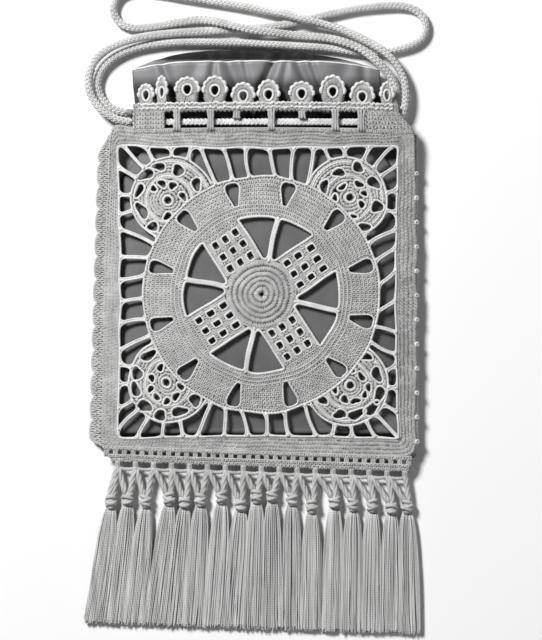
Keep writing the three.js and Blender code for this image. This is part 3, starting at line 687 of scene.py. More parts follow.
# Lace front, corner fans. Each is worked in rounds about a small ring that lies a little off the
# middle, and leaves two rings of eyes open between its stitches.
FANS = (
    {
        "distance": 76.4, "bearing": 48.6, "ring": (58.5, 89.1),
        "small_eyes": ((11.5, -116), (9.8, -69), (11.4, -32), (11.7, -1), (7.1, 60), (6.7, 135)),
        "wide_eyes": ((20.3, -110), (18.8, -63), (19.6, -19), (20.2, 20), (15.9, 58), (14.7, 104)),
    },
    {
        "distance": 78.5, "bearing": 132.8, "ring": (-50.7, 87.6),
        "small_eyes": ((6.9, -124), (7.7, -49), (10.1, -8), (12.4, 22), (11.2, 123)),
        "wide_eyes": ((16.8, -103), (17.1, -56), (20, -21), (21, 5), (20.1, 34), (19.2, 70), (20.4, 103)),
    },
    {
        "distance": 75.4, "bearing": 223.4, "ring": (-51.3, -21.6),
        "small_eyes": ((9.5, -100), (11.1, -53), (12.4, -21), (12.4, 7), (12, 37), (9.6, 68), (7.7, 114)),
        "wide_eyes": ((19.6, -94), (20.5, -57), (20.8, -30), (21, 2), (20.8, 31), (19.1, 63), (19.1, 100)),
    },
    {
        "distance": 74.2, "bearing": 313.7, "ring": (58.5, -22.8),
        "small_eyes": ((8, -113), (8.9, -51), (11.2, -18), (12.1, 14), (13, 39), (10.3, 75), (9, 119)),
        "wide_eyes": ((17.4, -103), (18.2, -57), (19, -27), (20.6, 1), (20.2, 28), (19.1, 65), (20.1, 104)),
    },
)
FAN_RADIUS = 24.5 * MM
FAN_RING = 3.1 * MM
FAN_PITCH = 1.95 * MM
FAN_STITCH = 1.1 * MM
FAN_ARCS = ((FAN_RING - 0.2 * MM, 0), (13.8 * MM, 0.5), (21.8 * MM, 0.9), (FAN_RADIUS, 1))
SMALL_EYE = (2.6 * MM, 3.1 * MM)
WIDE_EYE = (3.5 * MM, 4.9 * MM)
FAN_YARN = 1 * MM
ARC_YARN = 0.74 * MM
EDGE_YARN = 0.55 * MM
EDGE_OVER = 1.55 * MM


def eye_reach(turn, pulls):
    """How far an eye is pulled out of an oval in each direction."""
    return 1 + 0.18 * np.cos(2 * turn + pulls[0]) + 0.13 * np.cos(3 * turn + pulls[1])


def eye_loop(eye, ring, halves, pulls):
    """The edge of an eye, wider across the fan than out from its ring, and stopped by the medallion."""
    out = unit(eye - ring)
    aside = np.array([-out[1], out[0]])
    turn = np.linspace(0, 2 * np.pi, 20, endpoint=False)[:, None]
    oval = halves[0] * np.cos(turn) * out + halves[1] * np.sin(turn) * aside
    loop = eye + eye_reach(turn, pulls) * oval
    far = np.linalg.norm(loop - MEDALLION, axis=1, keepdims=True)
    return MEDALLION + (loop - MEDALLION) * np.maximum(1, MEDALLION_RIM / far)


def outside_eye(places, eye, ring, halves, pulls):
    out = unit(eye - ring)
    aside = np.array([-out[1], out[0]])
    far, wide = (places - eye) @ out / halves[0], (places - eye) @ aside / halves[1]
    return np.hypot(far, wide) > eye_reach(np.arctan2(wide, far), pulls)


def clear_runs(line, eyes):
    """The stretches of a fan's round that lie clear of the medallion and of the eyes."""
    kept = np.linalg.norm(line - MEDALLION, axis=1) > MEDALLION_RIM
    for eye in eyes:
        kept &= outside_eye(line, *eye)
    if kept.all():
        return [np.vstack([line, line[:1]])]
    first = np.argmin(kept)
    line, kept = np.roll(line, -first, axis=0), np.roll(kept, -first)
    runs = np.split(np.arange(len(line)), np.flatnonzero(np.diff(kept.astype(int))) + 1)
    return [line[run] for run in runs if kept[run[0]] and len(run) > 2]


def edge_thread(loop, over=EDGE_OVER, yarn=EDGE_YARN, corner=1.7 * MM):
    """A raised thread round an opening, with its corners worked round."""
    loop = even_steps(loop, corner, closed=True)
    for _ in range(2):
        after = np.roll(loop, -1, axis=0)
        loop = np.stack([0.75 * loop + 0.25 * after, 0.25 * loop + 0.75 * after], axis=1).reshape(-1, 2)
    line = even_steps(loop, 1.1 * MM, closed=True)
    return laid(line, over, beaded(len(line), yarn, share=0.1), closed=True)


fan_parts, edge_parts = [], []
for fan in FANS:
    centre = around(fan["distance"] * MM, fan["bearing"])
    ring = MM * np.array(fan["ring"])
    eyes = []
    for places, halves in ((fan["small_eyes"], SMALL_EYE), (fan["wide_eyes"], WIDE_EYE)):
        for r, turn in places:
            eye = around(r * MM, fan["bearing"] + turn, centre)
            size = np.array(halves) * chance.uniform(0.85, 1.1)
            eyes.append((eye, ring, size, chance.uniform(0, 6.28, 2)))
    for radius in np.arange(FAN_RING, FAN_RADIUS, FAN_PITCH):
        middle = ring + (centre - ring) * radius / FAN_RADIUS
        stitches = round(2 * np.pi * radius / FAN_STITCH)
        circle = around(radius, np.linspace(0, 360, stitches, endpoint=False), middle)
        for run in clear_runs(circle, eyes):
            run = run + chance.normal(0, 0.15 * MM, run.shape)
            fan_parts.append(laid(run, 1.05 * MM, beaded(len(run), FAN_YARN, share=0.3)))
    for eye in eyes:
        edge_parts.append(edge_thread(eye_loop(*eye), yarn=ARC_YARN))
    for radius, shift in FAN_ARCS:
        circle = around(radius, np.linspace(0, 360, 120, endpoint=False), ring + (centre - ring) * shift)
        for run in clear_runs(circle, eyes):
            edge_parts.append(laid(run, EDGE_OVER, ARC_YARN))
joined("corner_fans", handmade(fan_parts), crochet_cotton, "crochet")

# Lace front, bars and edge threads. Thin bars hang the medallion and its fans in the window, and a
# raised thread is worked round every opening. They complete the front. Their cotton is lighter than the
# lace's, as a painted highlight where the raised threads catch the light.
SIDE_BARS = (
    ((-23.6, -15.9, -7.9, 5.1, 16.9, 25.2), (-23.7, -15.4, -2.5, 10.2, 19.1, 26.1)),
    ((67.5, 75.4, 82.9, 95.9, 104.6, 112.9), (70.4, 77.5, 87.2, 95.8, 104.2, 112.3)),
    ((154.9, 161.9, 170.7, 182.2, 191.8, 200.2), (155.2, 165.1, 174.1, 182.8, 191.9, 201.1)),
    ((245.3, 252.5, 260.5, 272.2, 281.3, 291.8), (245.6, 255.1, 264.4, 272.6, 281.1, 291.2)),
)
FAN_BARS = (-17.5, -11.2, -5, 0, 5.6, 11.8, 18)
BAR_HALF = 0.6 * MM
BAR_BOW = 0.9 * MM
WEDGE_RIM = (16.5, 44.1)
WEDGE_HUB = (43, 40)
SPOKE = (20 * MM, 47.5 * MM)


def window_reach(degrees):
    """How far the window's edge is from the medallion's centre."""
    ahead = np.stack([np.cos(np.radians(degrees)), np.sin(np.radians(degrees))], axis=-1)
    far = np.where(ahead > 0, WINDOW_CORNERS.max(axis=0), WINDOW_CORNERS.min(axis=0)) - MEDALLION
    reach = far / np.where(np.abs(ahead) < 1e-9, 1e-9, ahead)
    near = reach.min(axis=-1)
    return near * (1 - 0.02 * (1 - (near / reach.max(axis=-1)) ** 2))


def rim_reach(degrees):
    """How far the medallion and its fans reach from its centre."""
    reach = np.full(np.shape(degrees), MEDALLION_RIM)
    for fan in FANS:
        off = np.radians(np.asarray(degrees) - fan["bearing"])
        distance = fan["distance"] * MM
        inside = FAN_RADIUS ** 2 - (distance * np.sin(off)) ** 2
        out = distance * np.cos(off) + np.sqrt(np.maximum(inside, 0))
        reach = np.where((inside > 0) & (np.cos(off) > 0), np.maximum(reach, out), reach)
    return reach


def fan_turn(fan, degrees):
    """The bearing of the place on a fan's rim that faces the window's edge at a bearing."""
    centre = around(fan["distance"] * MM, fan["bearing"])
    edge = around(window_reach(np.array(degrees)), np.array(degrees))
    across, up = centre + FAN_RADIUS * unit(edge - centre) - MEDALLION
    return math.degrees(math.atan2(up, across)) % 360


bars = [pair for rings, borders in SIDE_BARS for pair in zip(rings, borders)]
for fan in FANS:
    edge_turns = [fan["bearing"] + turn for turn in FAN_BARS]
    bars += [(fan_turn(fan, turn), turn) for turn in edge_turns]
bars.sort()
bar_lines = []
for ring_turn, rim_turn in bars:
    start = around(rim_reach(np.array(ring_turn)), np.array(ring_turn))
    end = around(window_reach(np.array(rim_turn)), np.array(rim_turn))
    aside = unit(np.array([start[1] - end[1], end[0] - start[0]]))
    t = np.linspace(0, 1, 7)[:, None]
    bow = chance.uniform(-1, 1) * BAR_BOW * min(1, np.linalg.norm(end - start) / (15 * MM))
    bar_lines.append((start + (end - start) * t + aside * bow * np.sin(np.pi * t), aside))
corner_turns = np.degrees(np.arctan2(*(WINDOW_CORNERS - MEDALLION).T[::-1])) % 360
for number, (line, aside) in enumerate(bar_lines):
    next_line, next_aside = bar_lines[(number + 1) % len(bars)]
    low, high = (bars[number][1], bars[(number + 1) % len(bars)][1])
    high += 360 * (high < low)
    wrapped = [turn + wrap for turn in corner_turns for wrap in (-360, 0, 360)]
    corners = [turn for turn in wrapped if low < turn < high]
    in_low, in_high = bars[number][0], bars[(number + 1) % len(bars)][0]
    in_high += 360 * (in_high < in_low)
    arc = np.linspace(in_high, in_low, 6)[1:-1]
    loop = np.vstack([
        line + aside * BAR_HALF,
        *[around(window_reach(np.array(turn)), np.array(turn))[None] for turn in corners],
        (next_line - next_aside * BAR_HALF)[::-1],
        around(rim_reach(arc), arc),
    ])
    edge_parts.append(edge_thread(loop, corner=4.2 * MM))
    core = even_steps(line, 1.2 * MM)
    flare = 0.6 * MM + 1 * MM * np.linspace(-1, 1, len(core)) ** 6
    edge_parts.append(laid(core, 1.3 * MM, flare))

circle = around(MEDALLION_RIM, np.linspace(0, 360, 240, endpoint=False))
edge_parts.append(laid(circle, 1.65 * MM, 0.75 * MM, closed=True))
for slit in range(BLOCK_COUNT):
    axis = SLIT_TURN + BLOCK_TURN * slit
    wide = np.append(SLIT_HALF, -SLIT_HALF[::-1])
    out = np.append(SLIT_REACH, SLIT_REACH[::-1])
    loop = around(np.hypot(out, wide), axis + np.degrees(np.arctan2(wide, out)))
    edge_parts.append(edge_thread(loop, corner=2.2 * MM))
for tab in range(4):
    axis = TAB_TURN + 90 * tab
    for side in (-1, 1):
        wedge = np.vstack([
            tab_edge(axis, side),
            around(RING[0], axis + side * np.linspace(*WEDGE_RIM, 12)),
            around(HUB_ROUNDS[-1], axis + side * np.array(WEDGE_HUB)),
        ])
        edge_parts.append(edge_thread(wedge, yarn=0.85 * MM, corner=4 * MM))
    line = on_tab(axis + 45, np.linspace(*SPOKE, 24), np.zeros(24))
    flare = 0.7 * MM + 0.5 * MM * np.linspace(-1, 1, 24) ** 8
    edge_parts.append(laid(line, 1.7 * MM, flare))
    for row in TAB_ROWS:
        for column in TAB_COLUMNS:
            out = row + TAB_HOLE[0] * np.array([-1, 1, 1, -1])
            across = column + TAB_HOLE[1] * np.array([-1, -1, 1, 1])
            edge_parts.append(edge_thread(on_tab(axis, out, across), 1.5 * MM, 0.62 * MM))
edge_parts.append(laid(border_grid[0], 1.6 * MM, BORDER_YARN, closed=True))
# Lighter than the lace's cotton: a painted highlight on the raised edge threads, bars, chains and picots.
painted_highlight_edge_cotton = cotton("painted_highlight_edge_cotton", 0.58, 0.76, scale=200, turns=1200)
joined("lace_edges", handmade(edge_parts), painted_highlight_edge_cotton, "crochet", "front_panel")

# Side seams. A band of single crochet joins front and back down each side and slopes from one to
# the other. The left one ends in soft scallops, and the right one in small picots in the lighter edge
# cotton, a painted highlight.
SEAM_FOOT = -58 * MM
SEAM_TOP = 127 * MM
SEAM_HEIGHTS = (6.3 * MM, 2.4 * MM)
SEAM_OVER = 1.5 * MM
SCALLOPS = 12
LEFT_BAND = {"reach": 5 * MM, "first": -50.4 * MM, "pitch": 14 * MM, "lobe": 2 * MM, "half": 6.6 * MM}
RIGHT_BAND = {"reach": 0.9 * MM, "first": -56.6 * MM, "pitch": 14.58 * MM, "picot": 0.8 * MM}


def seam_band(line, side, edge):
    """The stitches and ground of a band from the panel's edge out to the given reach at each height."""
    y = np.arange(SEAM_FOOT, SEAM_TOP, STITCH)
    rows = [np.full(len(y), -2.5 * MM), np.full(len(y), 0.0), edge(y) / 2, edge(y)]
    grid = np.array([np.stack([line(y) + side * row, y], axis=1) for row in rows])

    def slope(x, y):
        share = ease(side * (x - line(y)), -2 * MM, 6 * MM)
        return SEAM_HEIGHTS[0] + (SEAM_HEIGHTS[1] - SEAM_HEIGHTS[0]) * share

    stitches = []
    for foot, head in zip(grid, grid[1:]):
        stitches += single_crochet(foot, head, slope, base=SEAM_OVER, ridge=0)
    fine = np.arange(SEAM_FOOT, SEAM_TOP, 1.1 * MM)
    rim = np.stack([line(fine) + side * edge(fine), fine], axis=1)
    stitches.append(laid(rim, SEAM_OVER, beaded(len(fine), 0.8 * MM), slope))
    top = slope(grid[..., 0], grid[..., 1]) + 1.4 * MM
    return stitches, [slab(grid, np.full(top.shape, 2 * MM), top)], slope


def scalloped(y):
    """How far the left band reaches out at each height."""
    off = (y - LEFT_BAND["first"] + LEFT_BAND["pitch"] / 2) % LEFT_BAND["pitch"] - LEFT_BAND["pitch"] / 2
    lobe = np.sqrt(np.maximum(1 - (off / LEFT_BAND["half"]) ** 2, 0))
    ends = ease(SEAM_TOP - y, -3 * MM, 14 * MM) * ease(y - SEAM_FOOT, -3 * MM, 4 * MM)
    return (LEFT_BAND["reach"] + LEFT_BAND["lobe"] * lobe) * ends


def straight(y):
    return np.full(np.shape(y), RIGHT_BAND["reach"])


def ring_loop(centre, half_width, half_height, over, height, yarn, steps=14):
    """A small closed loop of thread lying on the work."""
    turn = np.linspace(0, 2 * np.pi, steps, endpoint=False)
    flat = np.asarray(centre) + np.stack([half_width * np.cos(turn), half_height * np.sin(turn)], axis=1)
    return laid(flat, over, yarn, height, closed=True)


left_parts, left_ground, left_slope = seam_band(left_seam, -1, scalloped)
for scallop in range(SCALLOPS):
    y = LEFT_BAND["first"] + scallop * LEFT_BAND["pitch"]
    x = left_seam(y) - LEFT_BAND["reach"] - 0.2 * MM
    left_parts.append(ring_loop((x, y), 1.6 * MM, 2.2 * MM, SEAM_OVER, left_slope, 0.5 * MM))
joined(
    "left_seam_band", left_parts, crochet_cotton, "crochet", "side_edging_left",
    ground=left_ground, ground_finish=painted_shade_cotton,
)

right_parts, right_ground, right_slope = seam_band(right_seam, 1, straight)
picots = []
for scallop in range(SCALLOPS):
    y = RIGHT_BAND["first"] + scallop * RIGHT_BAND["pitch"]
    x = right_seam(y) + RIGHT_BAND["reach"] + 0.2 * MM
    half = RIGHT_BAND["picot"]
    picots.append(ring_loop((x, y), half, 1.1 * half, 2.9 * MM, right_slope, 0.8 * MM, 10))
joined(
    "right_seam_band", right_parts, crochet_cotton, "crochet", "side_edging_right",
    ground=right_ground, ground_finish=painted_shade_cotton,
)
joined("right_seam_picots", picots, painted_highlight_edge_cotton, "crochet")

# Mouth edging. A strip of stitches with posts that hold the drawstring, a band of chain, and ten
# petals worked round small eyes, each with a thick scalloped edge. Chain and edges are in the lighter
# edge cotton, a painted highlight. The back has the same.
EDGING_LEFT = -70 * MM
EDGING_RIGHT = 86 * MM
BACK_EDGING_RIGHT = 75.7 * MM
EDGING_SAG = 0.8 * MM
EDGING_FOOT = MM * np.array([128.2, 130.4])
EDGING_BAND = MM * np.array([140.8, 143.2, 145.6])
EDGING_ENDS = MM * np.array([(-70, -54), (68.5, 86)])
ENDS_ROWS = MM * np.array([130.4, 133, 135.6, 138.2, 140.8])
END_FLARE = 8.5 * MM
POSTS = ((129.4, 2, (-45, -24.9, 11.4, 49.5, 65)), (136.4, 0.9, (-9.3, 29.7)))
POST_TOP = 142
POST_LANES = ((-1.2, 0), (0, 0.35), (1.2, 0))
PETALS = MM * np.array([
    (-63.5, 151, 5.2, 158.4), (-54, 152.4, 3.9, 163), (-38.8, 153.8, 7.8, 162),
    (-22.3, 153.1, 7.8, 162.4), (-5.4, 149.6, 7.4, 158.4), (9.7, 150.4, 7, 160),
    (29.4, 151, 7.9, 159), (48, 152.4, 7.9, 163), (65.6, 149.6, 7.6, 159.6),
    (80.4, 151, 4.6, 159.6),
])
PETAL_EYE = (2.8 * MM, 3.4 * MM)
PETAL_FOOT = 144.5 * MM
PETAL_LOBES = 7


def on_edging(x, y):
    across = (2 * x - EDGING_LEFT - EDGING_RIGHT) / (EDGING_RIGHT - EDGING_LEFT)
    return np.stack([x, y - EDGING_SAG * across ** 2], axis=-1)


def edging_rows(left, right, levels, height, yarn=0.74 * MM, flare=0):
    """Rows of single crochet and their ground, each longer to the right than the row above it."""
    across = np.linspace(0, 1, max(3, round((right - left) / STITCH)))
    grid = []
    for level in levels:
        end = right + flare * (levels[-1] - level) / (levels[-1] - levels[0])
        grid.append(on_edging(left + (end - left) * across, np.full(len(across), level)))
    grid = np.array(grid)
    under = height(grid[..., 0], grid[..., 1])
    stitches = []
    for foot, head in zip(grid, grid[1:]):
        stitches += single_crochet(foot, head, height, yarn=yarn)
    return stitches, [slab(grid, under + 0.3 * MM, under + 1.1 * MM)]


def chain_thread(left, right, level, height):
    """A chain whose loops lie unevenly, as beads of thread."""
    along = np.arange(left, right, 0.95 * MM)
    wave = 0.45 * MM * np.sin(np.arange(len(along)) * np.pi / 1.5) + chance.normal(0, 0.35 * MM, len(along))
    line = on_edging(along, level + wave)
    yarn = beaded(len(line), 0.72 * MM, 3, 0.3) * chance.uniform(0.7, 1.3, len(line))
    return laid(line, 1.9 * MM, yarn, height)


def petal(x, eye, half, tip, height):
    """A petal's stitches, its ground and its edge threads, painted lighter as highlight."""
    turns = np.radians(np.linspace(0, 360, 21)[:-1])
    narrow = min(PETAL_EYE[0], 0.42 * half) * (1 + 0.18 * np.sin(turns))
    inner = on_edging(x + narrow * np.cos(turns), eye + PETAL_EYE[1] * np.sin(turns))
    rise = np.where(np.sin(turns) > 0, tip - eye - 1.6 * MM, eye - PETAL_FOOT)
    square = np.where(np.sin(turns) > 0, 1, 0.4)
    side = np.sign(np.cos(turns)) * np.abs(np.cos(turns)) ** square
    outer = on_edging(x + (half - 1 * MM) * side, eye + rise * np.sin(turns))
    grid = np.array([inner, (inner + outer) / 2, outer])
    under = height(grid[..., 0], grid[..., 1])
    ground = [slab(grid, under + 0.4 * MM, under + 1 * MM, closed=True)]
    stitches = single_crochet(inner, outer, height, closed=True, yarn=0.68 * MM, ridge=0)
    fan = np.radians(np.linspace(-8, 188, 46))
    lobes = np.abs(np.sin(PETAL_LOBES * np.pi * np.linspace(0, 1, 46))) ** 0.7
    wide = half - 1.6 * MM + 0.8 * MM * lobes
    tall = np.where(np.sin(fan) > 0, tip - eye - 2 * MM + 0.8 * MM * lobes, eye - PETAL_FOOT)
    rim = on_edging(x + wide * np.cos(fan), eye + tall * np.sin(fan))
    painted_highlight_threads = [
        laid(inner, 1.6 * MM, 0.78 * MM, height, closed=True),
        laid(rim, 1.6 * MM, (0.72 + 0.42 * lobes) * MM, height),
    ]
    return stitches, ground, painted_highlight_threads


def edging(right, height):
    """All the stitches, ground and highlight-painted threads of one side's edging."""
    stitches, ground, painted_highlight_threads = [], [], []
    ends = [(left, min(end, right)) for left, end in EDGING_ENDS]
    runs = [
        (EDGING_LEFT, right + END_FLARE, EDGING_FOOT, height),
        (EDGING_LEFT, right, EDGING_BAND, height),
    ]
    for (start, end), flare in zip(ends, (0, END_FLARE)):
        runs.append((start, end, ENDS_ROWS, height, 0.95 * MM, flare))
    for run in runs:
        row_stitches, row_ground = edging_rows(*run)
        stitches += row_stitches
        ground += row_ground
    for level in (EDGING_BAND[1], EDGING_BAND[2]):
        painted_highlight_threads.append(chain_thread(EDGING_LEFT + 2 * MM, right - 2 * MM, level, height))
    for post_foot, over, posts in POSTS:
        for post in posts:
            for lane, rise in POST_LANES:
                flared = post + lane * (1 + 0.4 * np.linspace(-1, 1, 9) ** 2) + chance.normal(0, 0.14, 9)
                line = on_edging(flared * MM, np.linspace(post_foot, POST_TOP, 9) * MM)
                stitches.append(laid(line, (over + rise) * MM, beaded(9, 0.85 * MM), height))
    for x, eye, half, tip in PETALS[PETALS[:, 0] < right]:
        half = min(half, right - x + 2 * MM)
        petal_stitches, petal_ground, petal_painted_highlight_threads = petal(x, eye, half, tip, height)
        stitches += petal_stitches
        ground += petal_ground
        painted_highlight_threads += petal_painted_highlight_threads
    return stitches, ground, painted_highlight_threads


for side, right, height, node in (
    ("mouth_edging", EDGING_RIGHT, front_under, "front_edging"),
    ("back_mouth_edging", BACK_EDGING_RIGHT, on_table, "back_edging"),
):
    edging_stitches, edging_ground, edging_painted_highlight_threads = edging(right, height)
    joined(
        side, edging_stitches, border_cotton, "crochet", node,
        ground=edging_ground, ground_finish=painted_shade_cotton,
    )
    joined(side + "_white", edging_painted_highlight_threads, painted_highlight_edge_cotton, "crochet")

# Drawstring. A round cord, crocheted over a core in six columns of small V stitches. It runs
# pressed flat behind the posts of the edging, and comes out at the sides as two free loops.
CORD_RADIUS = 2.7 * MM
CASING_HALF = (2.2 * MM, 1.3 * MM)
CASING_FRONT = MM * np.array([(-70.8, 134.4), (79.8, 134.4)])
CASING_BACK = MM * np.array([(-70.9, 140.4), (75.4, 140.4)])
CASING_UNDER = 1.2 * MM
CASING_OVER = 3.8 * MM
CORD_COLUMNS = 6
CORD_PITCH = 2.6 * MM
CORD_YARN = 0.66 * MM
LEFT_LOOP = MM * np.array([
    (-71.5, 134.4, 7.6), (-80.5, 136.2, 7.3), (-89, 141, 7), (-95, 148, 6.7), (-98, 156.5, 6.6),
    (-97, 165.5, 6.6), (-92.5, 173.5, 6.6), (-84.5, 179.5, 6.6), (-73, 184, 6.4), (-60.5, 186.5, 5.3),
    (-47, 188, 3.8), (-34, 189, 2.75), (-18.5, 190, 2.75), (14.5, 192.5, 2.75), (28.5, 195.5, 2.75),
    (43.5, 199, 2.75), (59.5, 202.5, 2.75), (76, 204.3, 2.75), (87.5, 204.6, 2.75), (96.3, 202.8, 2.75),
    (102, 198, 2.75), (103.9, 192, 2.75), (102, 186, 2.75), (96.8, 181.6, 2.75), (88.5, 178.8, 2.75),
    (77, 176.9, 2.75), (65.5, 176.5, 2.75), (46.5, 179, 2.75), (25.5, 180.5, 2.75), (1.5, 182, 2.75),
    (-43.5, 182.5, 2.75), (-60.5, 181, 2.75), (-73.5, 178, 2.75), (-83.5, 173, 2.75), (-90.5, 166, 2.75),
    (-93, 158, 2.75), (-91.2, 150.6, 2.75), (-87, 144.9, 2.8), (-80.6, 141.5, 2.9), (-71.5, 140.4, 3),
])
RIGHT_LOOP = MM * np.array([
    (80.3, 134.4, 8.4), (85.7, 135.9, 7.2), (89.6, 139.8, 6.7), (91.3, 145.2, 6.6), (91.9, 152, 6.7),
    (91, 159, 6.8), (88.3, 165.5, 7.3), (84.3, 171.5, 8.4), (77, 178, 8.9), (55.5, 189, 7.4),
    (43.5, 193, 8.2), (32, 196, 8.8), (19.5, 199.5, 6.4), (5.5, 202, 3.6), (-8.5, 204.5, 2.75),
    (-40.5, 209.6, 2.75), (-56.5, 212.4, 2.75), (-65.5, 213.5, 2.75), (-73.5, 213.4, 2.75),
    (-80.2, 210.2, 2.75), (-83.4, 202.6, 2.75), (-80.2, 195, 2.75), (-73.5, 191.8, 2.75),
    (-64.5, 191.4, 2.75), (-44.5, 194.5, 2.75), (-31.5, 196, 3.4), (-20, 194.5, 6.2),
    (-10, 192, 8.6), (1.5, 189.5, 8.6), (13.5, 188, 6.4), (27.5, 186.5, 4), (41.5, 185.5, 5.2),
    (55, 182.5, 7.6), (65.5, 178, 8.8), (74, 171.5, 8.2), (81.5, 164, 5.4), (85.2, 157.5, 4),
    (86.4, 151, 3.5), (85, 145.8, 3.5), (81.1, 141.9, 3.6), (76.3, 140.4, 3.7),
])


def smooth_line(points, step):
    """A line that bends gently through the points, in even steps."""
    ends = np.vstack([2 * points[0] - points[1], points, 2 * points[-1] - points[-2]])
    line = []
    for a, b, c, d in zip(ends, ends[1:], ends[2:], ends[3:]):
        k1 = np.linalg.norm(b - a) ** 0.5
        k2 = k1 + np.linalg.norm(c - b) ** 0.5
        k3 = k2 + np.linalg.norm(d - c) ** 0.5
        t = np.linspace(k1, k2, 12, endpoint=False)[:, None]
        ab = a + (b - a) * t / k1
        bc = b + (c - b) * (t - k1) / (k2 - k1)
        cd = c + (d - c) * (t - k2) / (k3 - k2)
        abc = ab + (bc - ab) * t / k2
        bcd = bc + (cd - bc) * (t - k1) / (k3 - k1)
        line.append(abc + (bcd - abc) * (t - k1) / (k2 - k1))
    return even_steps(np.vstack([*line, points[-1:]]), step)


def along_line(line, values, places):
    """Values given at the line's points, read at places along it."""
    run = lengths_along(line)
    return np.stack([np.interp(places, run, column) for column in values.T], axis=-1)


def crocheted_cord(line, half_width, half_depth):
    """V stitches in columns round a line, every other one half a stitch on, and the cord's core."""
    across, above = headings(line[None])
    rounds = int(lengths_along(line)[-1] / CORD_PITCH) - 1
    column, row = np.meshgrid(np.arange(CORD_COLUMNS), np.arange(rounds))
    start = CORD_PITCH * (row + 0.5 * (column % 2)).ravel()
    turn = (column * 2 * np.pi / CORD_COLUMNS).ravel()
    spread = np.array([-1, -0.55, 0, 0.55, 1])
    places = start[:, None] + CORD_PITCH * (0.05 + 1.15 * np.abs(spread))
    angle = turn[:, None] + spread * 0.95 * np.pi / CORD_COLUMNS
    out = (half_width - CORD_YARN) * np.cos(angle)[..., None] * along_line(line, across[0], places)
    rise = (half_depth - CORD_YARN) * np.sin(angle)[..., None] * along_line(line, above[0], places)
    lift = np.array([0.72, 1, 0.84, 1, 0.72])[:, None]
    stitches = along_line(line, line, places) + lift * (out + rise)
    core = threads(line[None], min(half_width, half_depth) - CORD_YARN, sides=8)
    return [threads(stitches, CORD_YARN * np.array([0.8, 1, 0.95, 1, 0.8]), sides=4)], [core]


# The cord in the casing is painted lighter than its own loops, as painted light where it lies in full
# light.
painted_light_casing_cotton = cotton("painted_light_casing_cotton", 0.6, 0.85, scale=180, turns=1100, plies=2)
front_run = lifted(np.linspace(*CASING_FRONT, 100), -CASING_UNDER)
back_run = lifted(np.linspace(*CASING_BACK, 100), CASING_OVER, on_table)
for run_name, run_line, run_node in (
    ("casing_run_front", front_run, "casing_cord_front"),
    ("casing_run_back", back_run, "casing_cord_back"),
):
    run_stitches, run_core = crocheted_cord(run_line, *CASING_HALF)
    joined(
        run_name, run_stitches, painted_light_casing_cotton, "cord", run_node,
        ground=run_core, ground_finish=painted_shade_cotton,
    )

cord_cotton = cotton("cord_cotton", 0.56, 0.76, scale=90, turns=1100, plies=2)
for loop_name, route, loop_length, loop_node in (
    ("left_loop", LEFT_LOOP, 0.51, "cord_left_loop"),
    ("right_loop", RIGHT_LOOP, 0.436, "cord_right_loop"),
):
    loop_line = smooth_line(route, 1.6 * MM)
    loop_stitches, loop_core = crocheted_cord(loop_line, CORD_RADIUS, CORD_RADIUS)
    loop = joined(
        loop_name, loop_stitches, cord_cotton, "cord", loop_node,
        ground=loop_core, ground_finish=painted_shade_cotton,
    )

# Fringe heading. Below the bottom seam come a row of eyelets, a band of crochet and a row of slits.
# A bundle of thread hangs from each post between the slits, and is halved and tied to its
# neighbours in seventeen knots.
KNOTS = MM * np.array([
    (-84.8, -92.6), (-74.7, -90.6), (-64, -92), (-49.9, -90.6), (-40.6, -92.4), (-31.2, -91.2),
    (-18.5, -89.7), (-7.1, -94), (2.3, -89.3), (11.9, -88.6), (23.7, -90.6), (35.7, -95.3),
    (49.2, -92.6), (60.2, -94), (71.9, -94.7), (83.3, -96), (92.7, -95.3),
])
HEADING_ENDS = MM * np.array([-88.5, 94])
HEADING_TAPER = MM * np.array([7.8, -2.6])
HEADING_HEIGHTS = (6.8 * MM, 3.4 * MM)
EYELETS = 34
EYELET_DROP = (1.8 * MM, 4.2 * MM)
HEADING_BAND = MM * np.array([4.2, 6.4, 8.6])
SLIT_DROP = (8.6 * MM, 11.4 * MM)
LEG_YARN = 1.05 * MM
KNOT_WRAPS = ((2.1, 0.9, 2.4), (0.1, -1.1, 2.8), (-2, 0.7, 2.4))


def under_seam(x, drop):
    return np.stack([x, bottom_seam(x) - drop], axis=-1)


def heading_slope(x, y):
    """The heading slopes down from the panel's edge to the fringe."""
    share = ease(bottom_seam(x) - y, -1 * MM, 15 * MM)
    return HEADING_HEIGHTS[0] + (HEADING_HEIGHTS[1] - HEADING_HEIGHTS[0]) * share


def heading_ends(drop):
    """Where the heading starts and stops at a drop below the seam."""
    return HEADING_ENDS + HEADING_TAPER * min(1, drop / SLIT_DROP[1])


def twisted(line, half, plies, pitch, yarn):
    """Plies of thread twisted round a line."""
    line = even_steps(line, pitch / 6)
    across, above = headings(line[None])
    turns = 2 * np.pi * (np.arange(len(line)) / 6 + np.arange(plies)[:, None] / plies)
    around_line = np.cos(turns)[..., None] * across + np.sin(turns)[..., None] * above
    return threads(line + half * around_line, yarn)


heading_parts, heading_ground = [], []
for drops in (np.array([-0.8, 1.7]) * MM, HEADING_BAND):
    grid = np.array([under_seam(np.linspace(*heading_ends(drop), 74), drop) for drop in drops[::-1]])
    top = heading_slope(grid[..., 0], grid[..., 1])
    heading_ground.append(slab(grid, np.full(top.shape, 2.2 * MM), top + 1 * MM))
    for foot, head in zip(grid, grid[1:]):
        heading_parts += single_crochet(foot, head, heading_slope)
eyelet_x = np.linspace(*heading_ends(EYELET_DROP[0]), EYELETS + 1)
post_drop = np.linspace(EYELET_DROP[0] - MM, EYELET_DROP[1] + MM, 5)
for x in eyelet_x:
    for lane in (-0.95, 0, 0.95):
        line = under_seam(np.full(5, x + lane * MM), post_drop)
        heading_parts.append(laid(line, 1 * MM, 0.62 * MM, heading_slope))

